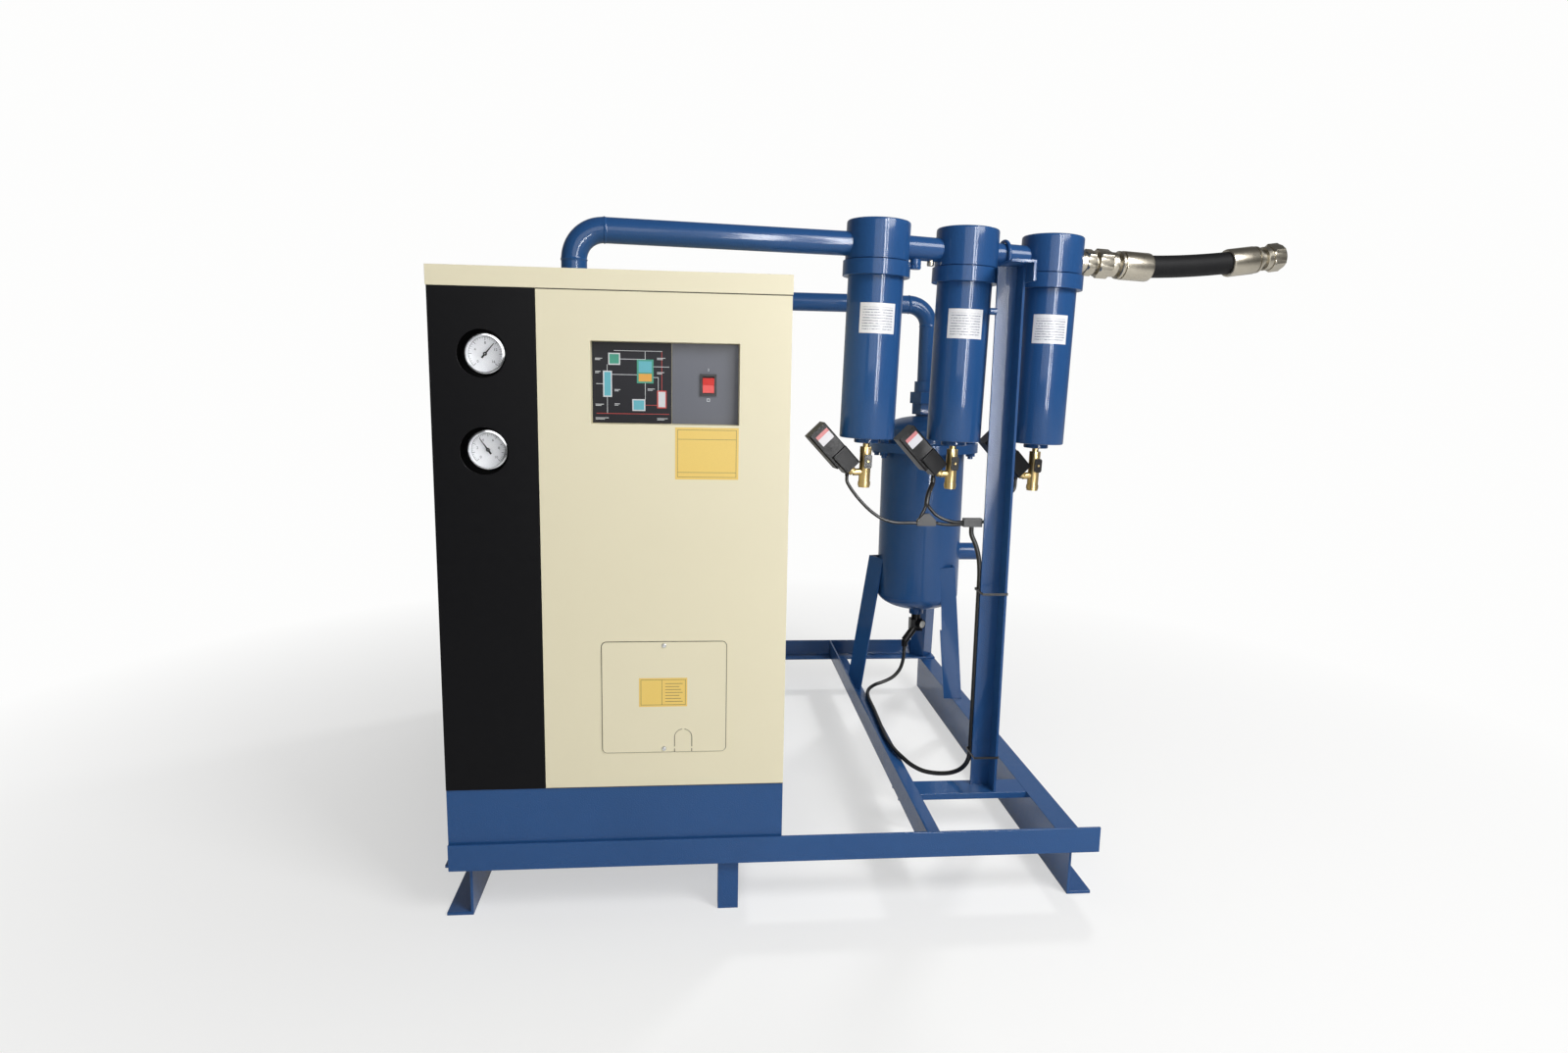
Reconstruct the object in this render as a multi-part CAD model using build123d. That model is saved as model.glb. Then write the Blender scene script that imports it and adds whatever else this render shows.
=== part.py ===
"""Skid mounted refrigerated air dryer: cabinet, three line filters, water separator and piping.

Design axes: x to the right along the front rail, y to the back, z up, millimetres. The
cabinet's lower front left corner line is x = 0, y = 0 and the floor is z = 0. Every node is
moved by (-origin_x, -origin_y, 0) when it is written, so that the origin of the files is
the centre of the whole object's footprint.
"""

import os
from math import atan2, cos, degrees, hypot, radians, sin, tan

from build123d import *

# Origin of the written files, in design axes
origin_x = 625.414
origin_y = 642.5

# Skid
skid_width = 1212.0
skid_front_y = -5.0
skid_back_y = 1290.0
angle_leg = 50.0
angle_wall = 5.0
channel_height = 100.0
channel_flange = 48.0
channel_web = 5.0
channel_flange_wall = 6.0
channel_setback = 20.0
left_web_x = 31.0
right_web_x = 1164.0
middle_rail_x = 874.0
cross_y = 262.0
cross_width = 66.0
cross_lip = 14.0
center_leg_x = 483.0
center_leg_width = 38.0

# Cabinet
cabinet_width = 600.0
cabinet_depth = 1275.0
plinth_bottom = channel_height + angle_wall
plinth_top = 252.0
panel_top = 1124.0
cover_top = 1157.0
sheet = 2.0
fascia_width = 173.0
panel_return = 20.0
panel_gap = 1.0
recess_x0, recess_x1 = 262.0, 512.0
recess_z0, recess_z1 = 903.0, 1041.0
recess_depth = 20.0
plate_wall = 1.2
plate_split_x = 397.0
switch_x, switch_z = 459.4, 971.0
switch_bezel_w, switch_bezel_h, switch_bezel_t = 28.0, 37.0, 3.0
rocker_w, rocker_h = 19.6, 25.6
rocker_gap = 0.4
rocker_rest = 9.0
access_x0, access_x1 = 275.5, 494.0
access_z0, access_z1 = 318.0, 521.5
access_radius = 8.0
drain_hole_r = 12.0
knockout_x, knockout_w, knockout_h, knockout_slit = 418.0, 32.0, 43.0, 1.2
screw_x = 384.0
screw_r, screw_head_r = 2.5, 4.5

# Pressure gauges behind the dark fascia
gauge_x = 84.6
gauge_z_upper, gauge_z_lower = 1016.0, 854.6
gauge_hole_r = 40.0
gauge_setback = 20.0
gauge_r = 35.0
gauge_window_r = 30.5
gauge_cup_r = 32.0
gauge_bracket_y = 40.0
upper_pointer_turn = 40.0
lower_pointer_turn = -35.0

# Pipes, all of one size
pipe_r = 24.15
pipe_wall = 3.6
elbow_r = 57.0
weld_r = pipe_r + 1.6
socket_depth = 20.0

# Filter manifold, a straight line that runs slightly back and down to the right
manifold = (806.5, 336.0, 1256.0)
manifold_yaw = 8.0
manifold_tilt = 1.5
filter_pitch = 196.0
outlet_drop_length = 605.0
head_r, head_top, head_bottom = 65.0, 46.0, -32.0
collar_r, collar_bottom = 69.0, -64.0
bowl_r, bowl_wall, bowl_bottom = 57.15, 4.0, -392.0
boss_r, boss_height = 26.0, 10.0
drain_bore = 7.0

# Drain valve under each filter, measured from the bottom of its boss
valve_r, valve_length, valve_neck = 12.0, 86.0, 8.0
branch_drop, branch_x = 61.0, -34.0
coil_rise = 45.0
coil_low, coil_high, coil_length = -16.0, 22.0, 46.0
coil_front, coil_back = 22.0, 20.0
timer_low, timer_start, timer_end = -23.0, 20.0, 111.0
timer_front, timer_back = 16.0, 24.0
gland_y, gland_r = 14.5, 4.2
handle_turn, handle_drop = -90.0, 30.0
handle_width, handle_height = 17.0, 30.0
handle_gap = 0.3

# Post with bracket
post_x, post_y, post_leg = 1051.0, 266.0, 45.0
bracket_y0, bracket_y1, bracket_notch = 222.0, 418.0, 22.0
bracket_width, bracket_height = 50.0, 40.0
u_bolt_run, u_bolt_rod = 280.2, 4.0

# Separator vessel
tank_x, tank_y = 1074.0, 960.0
tank_r, tank_wall = 114.0, 6.0
tank_bottom, tank_seam, tank_dome = 342.0, 388.0, 43.0
flange_r, flange_z, flange_t = 150.0, 791.0, 12.0
lid_seam, lid_top = 845.0, 888.0
stub_z, stub_end = 505.0, 1242.0
bolt_circle, bolt_r = 131.0, 7.0
inlet_z = 1188.0
inlet_drop_x = 400.0
union_z0, union_z1, union_z2, union_z3 = 892.0, 922.0, 953.0, 982.0

# Hose at the outlet
hose_r, hose_bore_r, ferrule_r = 24.0, 15.0, 30.5
hose_start, ferrule_start, ferrule_end = 560.0, 548.0, 625.0
hose_bend_at, hose_rise, hose_second = 690.0, 10.0, 200.0


def block(x0, x1, y0, y1, z0, z1):
    return Pos((x0 + x1) / 2, (y0 + y1) / 2, (z0 + z1) / 2) * Box(x1 - x0, y1 - y0, z1 - z0)


def rod(x, y, z0, z1, r):
    return Pos(x, y, (z0 + z1) / 2) * Cylinder(r, z1 - z0)


def rod_x(x0, x1, y, z, r):
    return Pos((x0 + x1) / 2, y, z) * Rot(0, 90, 0) * Cylinder(r, x1 - x0)


def rod_y(x, y0, y1, z, r):
    return Pos(x, (y0 + y1) / 2, z) * Rot(90, 0, 0) * Cylinder(r, y1 - y0)


def hex_z(x, y, z0, z1, across):
    return Pos(x, y, z0) * extrude(RegularPolygon(across / 2, 6, major_radius=False), z1 - z0)


def bar(a, b, r):
    """Round bar from point a to point b."""
    line = Line(a, b)
    return sweep(Plane(origin=line @ 0, z_dir=line % 0) * Circle(r), path=line)


def slab(plane, front, back, low, high, start, end, r):
    """Box with rounded edges on a plane whose x runs to the back and whose y runs down."""
    section = Pos((back - front) / 2, -(low + high) / 2) * RectangleRounded(front + back, high - low, r)
    return extrude(plane.offset(start) * section, end - start)


def bent(points, radii, r, inner=0.0):
    """Round bar or tube along straight runs that are joined by tangent arcs."""
    path = FilletPolyline(*points, radius=radii)
    start = Plane(origin=path @ 0, z_dir=path % 0)
    shape = sweep(start * Circle(r), path=path)
    if inner:
        shape -= sweep(start * Circle(inner), path=path)
    return shape


def write(name, shape):
    export_step(Pos(-origin_x, -origin_y, 0) * shape, f"parts/{name}.step")


os.makedirs("parts", exist_ok=True)

# Runners: channels with their webs towards each other
run_y0, run_y1 = skid_front_y + angle_wall + channel_setback, skid_back_y - channel_setback
for name, web_x, side in (("left_runner", left_web_x, -1), ("right_runner", right_web_x, 1)):
    web = block(web_x, web_x + channel_web, run_y0, run_y1, 0, channel_height)
    if side < 0:
        x0, x1 = web_x + channel_web - channel_flange, web_x + channel_web
    else:
        x0, x1 = web_x, web_x + channel_flange
    low = block(x0, x1, run_y0, run_y1, 0, channel_flange_wall)
    high = block(x0, x1, run_y0, run_y1, channel_height - channel_flange_wall, channel_height)
    write(name, web + low + high)

# End rails: angles that lie on the runners, upright leg outside
rail_top = channel_height + angle_leg
tray_top = channel_height + angle_wall
tray_front = skid_front_y + angle_leg
tray_back = skid_back_y - angle_leg
front_rail = block(0, skid_width, skid_front_y, skid_front_y + angle_wall, channel_height, rail_top)
front_rail += block(0, skid_width, skid_front_y, tray_front, channel_height, tray_top)
write("front_rail", front_rail)
rear_rail = block(0, skid_width, skid_back_y - angle_wall, skid_back_y, channel_height, rail_top)
rear_rail += block(0, skid_width, tray_back, skid_back_y, channel_height, tray_top)
write("rear_rail", rear_rail)

# Middle rail, coped over the trays of the end rails
rail_in_y0, rail_in_y1 = skid_front_y + angle_wall, skid_back_y - angle_wall
middle = block(middle_rail_x, middle_rail_x + angle_wall, rail_in_y0, rail_in_y1, tray_top, rail_top)
middle += block(middle_rail_x, middle_rail_x + angle_leg, tray_front, tray_back, channel_height, tray_top)
write("middle_rail", middle)

# Cross member: a shallow channel, its flat side level with the runner
cross_x0, cross_x1 = middle_rail_x + angle_wall, right_web_x
cross = block(cross_x0, cross_x1, cross_y, cross_y + cross_width, channel_height - angle_wall, channel_height)
for y in (cross_y, cross_y + cross_width - angle_wall):
    cross += block(cross_x0, cross_x1, y, y + angle_wall, channel_height - cross_lip, channel_height)
write("cross_member", cross)

# Short legs below the end rails, square tube with a closed foot
legs = []
for y0, y1 in ((run_y0 - 7.0, tray_front), (tray_back, run_y1 + 2.0)):
    x0, x1 = center_leg_x, center_leg_x + center_leg_width
    leg = block(x0, x1, y0, y1, 0, channel_height)
    leg -= block(x0 + 3, x1 - 3, y0 + 3, y1 - 3, 4, channel_height)
    legs.append(leg)
write("center_legs", Compound(legs))

# Plinth with the base pan of the cabinet
plinth_y0, plinth_y1 = 2.0, cabinet_depth + 8.0
plinth = block(0, cabinet_width, plinth_y0, plinth_y1, plinth_bottom, plinth_top)
plinth -= block(3, cabinet_width - 3, plinth_y0 + 3, plinth_y1 - 3, plinth_bottom + 3, plinth_top - 3)
for x, y in ((60.0, 60.0), (60.0, plinth_y1 - 60), (cabinet_width - 60, 60.0), (cabinet_width - 60, plinth_y1 - 60)):
    plinth -= rod(x, y, plinth_bottom, plinth_bottom + 3, drain_hole_r)
write("base_plinth", plinth)

# Side panels with louvre slots
side_y0, side_y1 = panel_return + panel_gap, cabinet_depth - sheet
for name, x0 in (("left_side_panel", 0.0), ("right_side_panel", cabinet_width - sheet)):
    panel = block(x0, x0 + sheet, side_y0, side_y1, plinth_top, panel_top)
    for y in (side_y1 - 560.0, side_y1 - 300.0):
        for row in range(12):
            z = plinth_top + 120 + row * 34
            panel -= block(x0, x0 + sheet, y, y + 220, z, z + 9)
    if x0:
        panel -= rod_x(x0, x0 + sheet, 880.0, 330.0, 9.0)
    write(name, panel)

# Rear panel with the round air outlet of the fan
fan_x, fan_z, fan_hole_r = 300.0, 640.0, 190.0
rear = block(0, cabinet_width, side_y1, cabinet_depth, plinth_top, panel_top)
ring_gap = 14.0
opening = rod_y(fan_x, side_y1, cabinet_depth, fan_z, fan_hole_r)
guard = []
for r in (40.0, 75.0, 110.0, 145.0):
    ring = rod_y(fan_x, side_y1, cabinet_depth, fan_z, r + ring_gap / 2)
    guard.append(ring - rod_y(fan_x, side_y1, cabinet_depth, fan_z, r - ring_gap / 2))
for turn in (0, 45, 90, 135):
    spoke = Pos(fan_x, 0, fan_z) * Rot(0, turn, 0) * block(-200, 200, side_y1, cabinet_depth, -5, 5)
    guard.append(spoke & rod_y(fan_x, side_y1, cabinet_depth, fan_z, fan_hole_r + 1))
rear -= opening
for piece in guard:
    rear += piece
write("rear_panel", rear)

# Top cover, a lid of sheet with two pipe holes
outlet_x = manifold[0] - outlet_drop_length * cos(radians(manifold_yaw))
outlet_y = manifold[1] - outlet_drop_length * sin(radians(manifold_yaw))
cover = block(-1, cabinet_width + 1, -2, cabinet_depth + 2, panel_top, cover_top)
cover -= block(1, cabinet_width - 1, 0, cabinet_depth, panel_top, cover_top - sheet)
cover -= rod(outlet_x, outlet_y, cover_top - sheet, cover_top, pipe_r + 1.5)
cover -= rod(inlet_drop_x + 4, tank_y, cover_top - sheet, cover_top, pipe_r + 10)
rim = block(1, cabinet_width - 1, 0, cabinet_depth, panel_top, panel_top + sheet)
rim -= block(21, cabinet_width - 21, 20, cabinet_depth - 20, panel_top, panel_top + sheet)
write("top_cover", cover + rim)


def folded(x0, x1):
    """Front sheet with its edges folded back."""
    face = block(x0, x1, 0, panel_return, plinth_top, panel_top)
    return face - block(x0 + sheet, x1 - sheet, sheet, panel_return, plinth_top + sheet, panel_top - sheet)


# Dark fascia with the two gauge openings and the bracket that carries the gauges
fascia = folded(0, fascia_width)
bracket_z0, bracket_z1 = gauge_z_lower - 60, gauge_z_upper + 60
hat = block(20, 150, sheet, gauge_bracket_y + sheet, bracket_z0, bracket_z1)
hat -= block(20 + sheet, 150 - sheet, sheet, gauge_bracket_y, bracket_z0, bracket_z1)
for z in (gauge_z_upper, gauge_z_lower):
    fascia -= rod_y(gauge_x, 0, sheet, z, gauge_hole_r)
    hat -= rod_y(gauge_x, gauge_bracket_y, gauge_bracket_y + sheet, z, gauge_cup_r - 3)
write("black_fascia", fascia + hat)

# Front panel, and behind its opening the pan of the control tray
front = folded(fascia_width + panel_gap, cabinet_width)
pan = block(recess_x0 - sheet, recess_x1 + sheet, sheet, recess_depth + sheet, recess_z0 - sheet, recess_z1 + sheet)
opening = block(recess_x0, recess_x1, 0, recess_depth, recess_z0, recess_z1)
front -= opening
pan -= opening
body_w, body_h = switch_bezel_w - 6, switch_bezel_h - 6
pan -= block(switch_x - body_w / 2, switch_x + body_w / 2, recess_depth, recess_depth + sheet,
             switch_z - body_h / 2, switch_z + body_h / 2)
front -= block(access_x0 + 25, access_x1 - 25, 0, sheet, access_z0 + 25, access_z1 - 25)
screw_zs = (access_z0 + 6.0, access_z1 - 6.0)
for z in screw_zs:
    front -= rod_y(screw_x, 0, sheet, z, screw_r)
write("front_panel", Compound([front, pan]))

# Plates in the tray
plate_front = recess_depth - plate_wall
write("display_plate", block(recess_x0 + 1, plate_split_x - 0.5, plate_front, recess_depth,
                             recess_z0 + 1, recess_z1 - 1))
switch_plate = block(plate_split_x + 0.5, recess_x1 - 1, plate_front, recess_depth, recess_z0 + 1, recess_z1 - 1)
switch_plate -= block(switch_x - body_w / 2, switch_x + body_w / 2, plate_front, recess_depth,
                      switch_z - body_h / 2, switch_z + body_h / 2)
write("switch_plate", switch_plate)

# Mains switch: housing with bezel, and the rocker on a cross pin
bezel_front = plate_front - switch_bezel_t
housing = block(switch_x - switch_bezel_w / 2, switch_x + switch_bezel_w / 2, bezel_front, plate_front,
                switch_z - switch_bezel_h / 2, switch_z + switch_bezel_h / 2)
housing += block(switch_x - body_w / 2, switch_x + body_w / 2, plate_front, plate_front + 26,
                 switch_z - body_h / 2, switch_z + body_h / 2)
well_w, well_h = rocker_w / 2 + rocker_gap, rocker_h / 2 + 1.6
housing -= block(switch_x - well_w, switch_x + well_w, bezel_front, plate_front + 13,
                 switch_z - well_h, switch_z + well_h)
pin_y = bezel_front + 3.0
pin = rod_x(switch_x - well_w, switch_x + well_w, pin_y, switch_z, 1.5)
for dx in (-6.0, 6.0):
    housing += block(switch_x + dx - 1.5, switch_x + dx + 1.5, plate_front + 22, plate_front + 36,
                     switch_z - 4, switch_z + 4)
write("switch_housing", housing + pin)
half = rocker_h / 2
profile = Polyline((-2.2, -half), (0.6, 0), (-2.2, half), (5.0, half - 1.5), (8.5, 0), (5.0, -half + 1.5),
                   close=True)
rocker = extrude(Plane.YZ * make_face(profile), rocker_w / 2, both=True)
rocker = rocker - rod_x(-rocker_w, rocker_w, 3.0 + 0.0, 0, 1.5 + 0.15)
rocker = Pos(0, -3.0, 0) * rocker
write("switch_rocker", Pos(switch_x, pin_y, switch_z) * Rot(rocker_rest, 0, 0) * rocker)

# Access cover with its knock-out, and two screws
cover_plate = Pos((access_x0 + access_x1) / 2, -sheet, (access_z0 + access_z1) / 2) * extrude(
    Plane.XZ * RectangleRounded(access_x1 - access_x0, access_z1 - access_z0, access_radius), -sheet)
knock_z = access_z0 + knockout_h - knockout_w / 2


def arch(half_width, drop):
    shape = rod_y(knockout_x, -sheet, 0, knock_z, half_width)
    return shape + block(knockout_x - half_width, knockout_x + half_width, -sheet, 0, access_z0 + drop, knock_z)


slit = arch(knockout_w / 2, 0) - arch(knockout_w / 2 - knockout_slit, -1)
slit -= block(knockout_x - 2, knockout_x + 2, -sheet, 0, knock_z, knock_z + knockout_w)
slit -= block(knockout_x - knockout_w, knockout_x + knockout_w, -sheet, 0, access_z0 + 6, access_z0 + 9)
cover_plate -= slit
screws = []
for z in screw_zs:
    cover_plate -= rod_y(screw_x, -sheet, 0, z, screw_r)
    head = Pos(screw_x, -sheet, z) * Rot(90, 0, 0) * Cone(screw_head_r, screw_head_r - 1.5, 2.4,
                                                        align=(Align.CENTER, Align.CENTER, Align.MIN))
    shank = rod_y(screw_x, -sheet, 10, z, screw_r)
    slot = block(screw_x - 0.5, screw_x + 0.5, -sheet - 2.4, -sheet - 1.4, z - 3.4, z + 3.4)
    cross_slot = block(screw_x - 3.4, screw_x + 3.4, -sheet - 2.4, -sheet - 1.4, z - 0.5, z + 0.5)
    screws.append(head + shank - slot - cross_slot)
write("access_cover", cover_plate)
write("access_screws", Compound(screws))

# Gauges: cup with dial, window and stem, and a loose pointer on the dial's pin
dial_y = gauge_setback + 13.0
pointer_y = dial_y - 3.2
for name, z, turn in (("upper_gauge", gauge_z_upper, upper_pointer_turn),
                      ("lower_gauge", gauge_z_lower, lower_pointer_turn)):
    cup = rod_y(gauge_x, gauge_setback, gauge_bracket_y, z, gauge_r)
    cup += rod_y(gauge_x, gauge_bracket_y, gauge_bracket_y + 16, z, gauge_cup_r - 3)
    cup += rod_y(gauge_x, gauge_bracket_y + 16, gauge_bracket_y + 30, z, 7)
    cup -= rod_y(gauge_x, gauge_setback + 2, dial_y, z, gauge_cup_r)
    cup -= rod_y(gauge_x, gauge_setback, gauge_setback + 2, z, gauge_window_r)
    cup += rod_y(gauge_x, pointer_y - 0.4, dial_y, z, 0.9)
    window = rod_y(gauge_x, gauge_setback + 2, gauge_setback + 4, z, gauge_cup_r)
    write(name + "_case", Compound([cup, window]))
    needle = Polyline((-1.6, -9), (1.6, -9), (0.5, 22.5), (0, 24), (-0.5, 22.5), close=True)
    pointer = extrude(Plane.XZ * make_face(needle), 0.4, both=True)
    pointer += rod_y(0, -1.2, 1.6, 0, 3.2)
    pointer -= rod_y(0, -1.2, 1.6, 0, 1.0)
    write(name + "_pointer", Pos(gauge_x, pointer_y, z) * Rot(0, turn, 0) * pointer)

# Compressor: hermetic pot on three feet
comp_x, comp_y, comp_r = 300.0, 620.0, 92.0
pot = rod(comp_x, comp_y, plinth_top + 22, plinth_top + 235, comp_r)
pot = fillet(pot.edges().filter_by(GeomType.CIRCLE), 30)
pot += rod(comp_x, comp_y, plinth_top + 120, plinth_top + 128, comp_r + 4)
plate = block(comp_x - 110, comp_x + 110, comp_y - 110, comp_y + 110, plinth_top + 16, plinth_top + 24)
for dx, dy in ((-95, -95), (95, -95), (-95, 95), (95, 95)):
    plate += rod(comp_x + dx, comp_y + dy, plinth_top, plinth_top + 16, 12)
pot += rod(comp_x + 40, comp_y, plinth_top + 225, plinth_top + 262, 8)
pot += rod(comp_x - 40, comp_y, plinth_top + 225, plinth_top + 255, 5)
write("compressor", pot + plate)

# Heat exchanger: clad block on four legs, with a socket for each pipe
hx_x0, hx_x1, hx_y0, hx_y1, hx_z0, hx_z1 = 120.0, 480.0, 170.0, 1030.0, 620.0, 900.0
exchanger = fillet(block(hx_x0, hx_x1, hx_y0, hx_y1, hx_z0, hx_z1).edges(), 20)
for x in (hx_x0 + 25, hx_x1 - 25):
    for y in (hx_y0 + 40, hx_y1 - 40):
        exchanger += block(x - 20, x + 20, y - 20, y + 20, plinth_top, plinth_top + 5)
        exchanger += block(x - 12, x + 12, y - 12, y + 12, plinth_top, hx_z0 + 5)
for x, y in ((outlet_x, outlet_y), (inlet_drop_x, tank_y)):
    exchanger += rod(x, y, hx_z1 - 5, hx_z1 + 30, pipe_r + 8)
    exchanger -= rod(x, y, hx_z1 + 5, hx_z1 + 30, pipe_r)
    exchanger -= rod(x, y, hx_z1 - 60, hx_z1 + 5, pipe_r - pipe_wall)
write("heat_exchanger", exchanger)

# Condenser: finned core with end plates and return bends
core_y0, core_y1 = 1090.0, 1140.0
condenser = block(80, 520, core_y0 + 20, core_y1 - 20, plinth_top + 40, plinth_top + 700)
for index in range(23):
    x = 90 + index * 19
    condenser += block(x, x + 2, core_y0, core_y1, plinth_top + 40, plinth_top + 700)
for x0 in (74.0, 518.0):
    condenser += block(x0, x0 + 8, core_y0 - 4, core_y1 + 2, plinth_top, plinth_top + 720)
for index in range(5):
    z = plinth_top + 110 + index * 120
    bend = Pos(526, (core_y0 + core_y1) / 2, z) * Rot(90, 0, 0) * Torus(22, 6)
    condenser += bend & block(526, 560, core_y0, core_y1, z - 30, z + 30)
write("condenser", condenser)

# Fan: shroud with motor arms behind the condenser, and the rotor
shroud_y = core_y1 + 2
rotor_y = shroud_y + 22
motor_y0, motor_y1 = rotor_y + 30, rotor_y + 84
shroud = block(74, 526, shroud_y, shroud_y + 3, fan_z - 240, fan_z + 240)
shroud += rod_y(fan_x, shroud_y, shroud_y + 60, fan_z, 188)
shroud -= rod_y(fan_x, shroud_y, shroud_y + 60, fan_z, 185)
for turn in (45, 135):
    arm = Pos(fan_x, 0, fan_z) * Rot(0, turn, 0) * block(-187, 187, motor_y0, motor_y0 + 4, -8, 8)
    shroud += arm
shroud += rod_y(fan_x, motor_y0, motor_y1, fan_z, 42)
shroud += rod_y(fan_x, rotor_y - 12, motor_y0, fan_z, 5)
shroud += block(80, 520, shroud_y, shroud_y + 30, plinth_top, plinth_top + 3)
for x in (80.0, 500.0):
    shroud += block(x, x + 20, shroud_y, shroud_y + 3, plinth_top, fan_z - 200)
write("fan_shroud", shroud)
rotor = rod_y(0, -10, 20, 0, 38)
for index in range(5):
    blade = Pos(0, 5, 0) * Rot(0, index * 72, 0) * Pos(100, 0, 0) * Rot(28, 0, 0) * Box(140, 2.5, 56)
    rotor += blade & rod_y(0, -20, 40, 0, 172)
rotor -= rod_y(0, -20, 30, 0, 5.3)
write("fan_rotor", Pos(fan_x, rotor_y, fan_z) * rotor)

# Outlet pipe from the exchanger over the cover to the first filter
yaw = radians(manifold_yaw)
manifold_at = Pos(*manifold) * Rot(0, 0, manifold_yaw)
chain = manifold_at * Rot(0, manifold_tilt, 0)
pipe_end = manifold_at * Pos(-head_r + socket_depth, 0, 0)
outlet_points = [(outlet_x, outlet_y, hx_z1 + 5), (outlet_x, outlet_y, manifold[2]), tuple(pipe_end.position)]
outlet_solid = bent(outlet_points, elbow_r, pipe_r)
outlet_pipe = bent(outlet_points, elbow_r, pipe_r, pipe_r - pipe_wall)
bead = manifold_at * Pos(-outlet_drop_length + elbow_r, 0, 0) * Rot(0, 90, 0) * Cylinder(weld_r, 3)
bead += rod(outlet_x, outlet_y, manifold[2] - elbow_r - 1.5, manifold[2] - elbow_r + 1.5, weld_r)
outlet_pipe += bead - outlet_solid
write("outlet_pipe", outlet_pipe)

# Inlet pipe from the exchanger to the separator's union
inlet_points = [(inlet_drop_x, tank_y, hx_z1 + 5), (inlet_drop_x, tank_y, inlet_z),
                (tank_x, tank_y, inlet_z), (tank_x, tank_y, union_z3 - socket_depth)]
inlet_pipe = bent(inlet_points, elbow_r, pipe_r, pipe_r - pipe_wall)
inlet_solid = bent(inlet_points, elbow_r, pipe_r)
for x in (inlet_drop_x + elbow_r, tank_x - elbow_r):
    inlet_pipe += rod_x(x - 1.5, x + 1.5, tank_y, inlet_z, weld_r) - inlet_solid
inlet_pipe += rod(tank_x, tank_y, inlet_z - elbow_r - 1.5, inlet_z - elbow_r + 1.5, weld_r) - inlet_solid
write("inlet_pipe", inlet_pipe)

# Union between the inlet pipe and the vessel's nozzle
nozzle_top = union_z0 + 16
union_body = hex_z(tank_x, tank_y, union_z0, union_z1, 62)
union_body += hex_z(tank_x, tank_y, union_z1, union_z2, 74)
union_body += rod(tank_x, tank_y, union_z2, union_z3, 31)
union_body -= rod(tank_x, tank_y, union_z0, nozzle_top, pipe_r)
union_body -= rod(tank_x, tank_y, nozzle_top, union_z3 - socket_depth, pipe_r - pipe_wall)
union_body -= rod(tank_x, tank_y, union_z3 - socket_depth, union_z3, pipe_r)
write("pipe_union", union_body)

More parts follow.
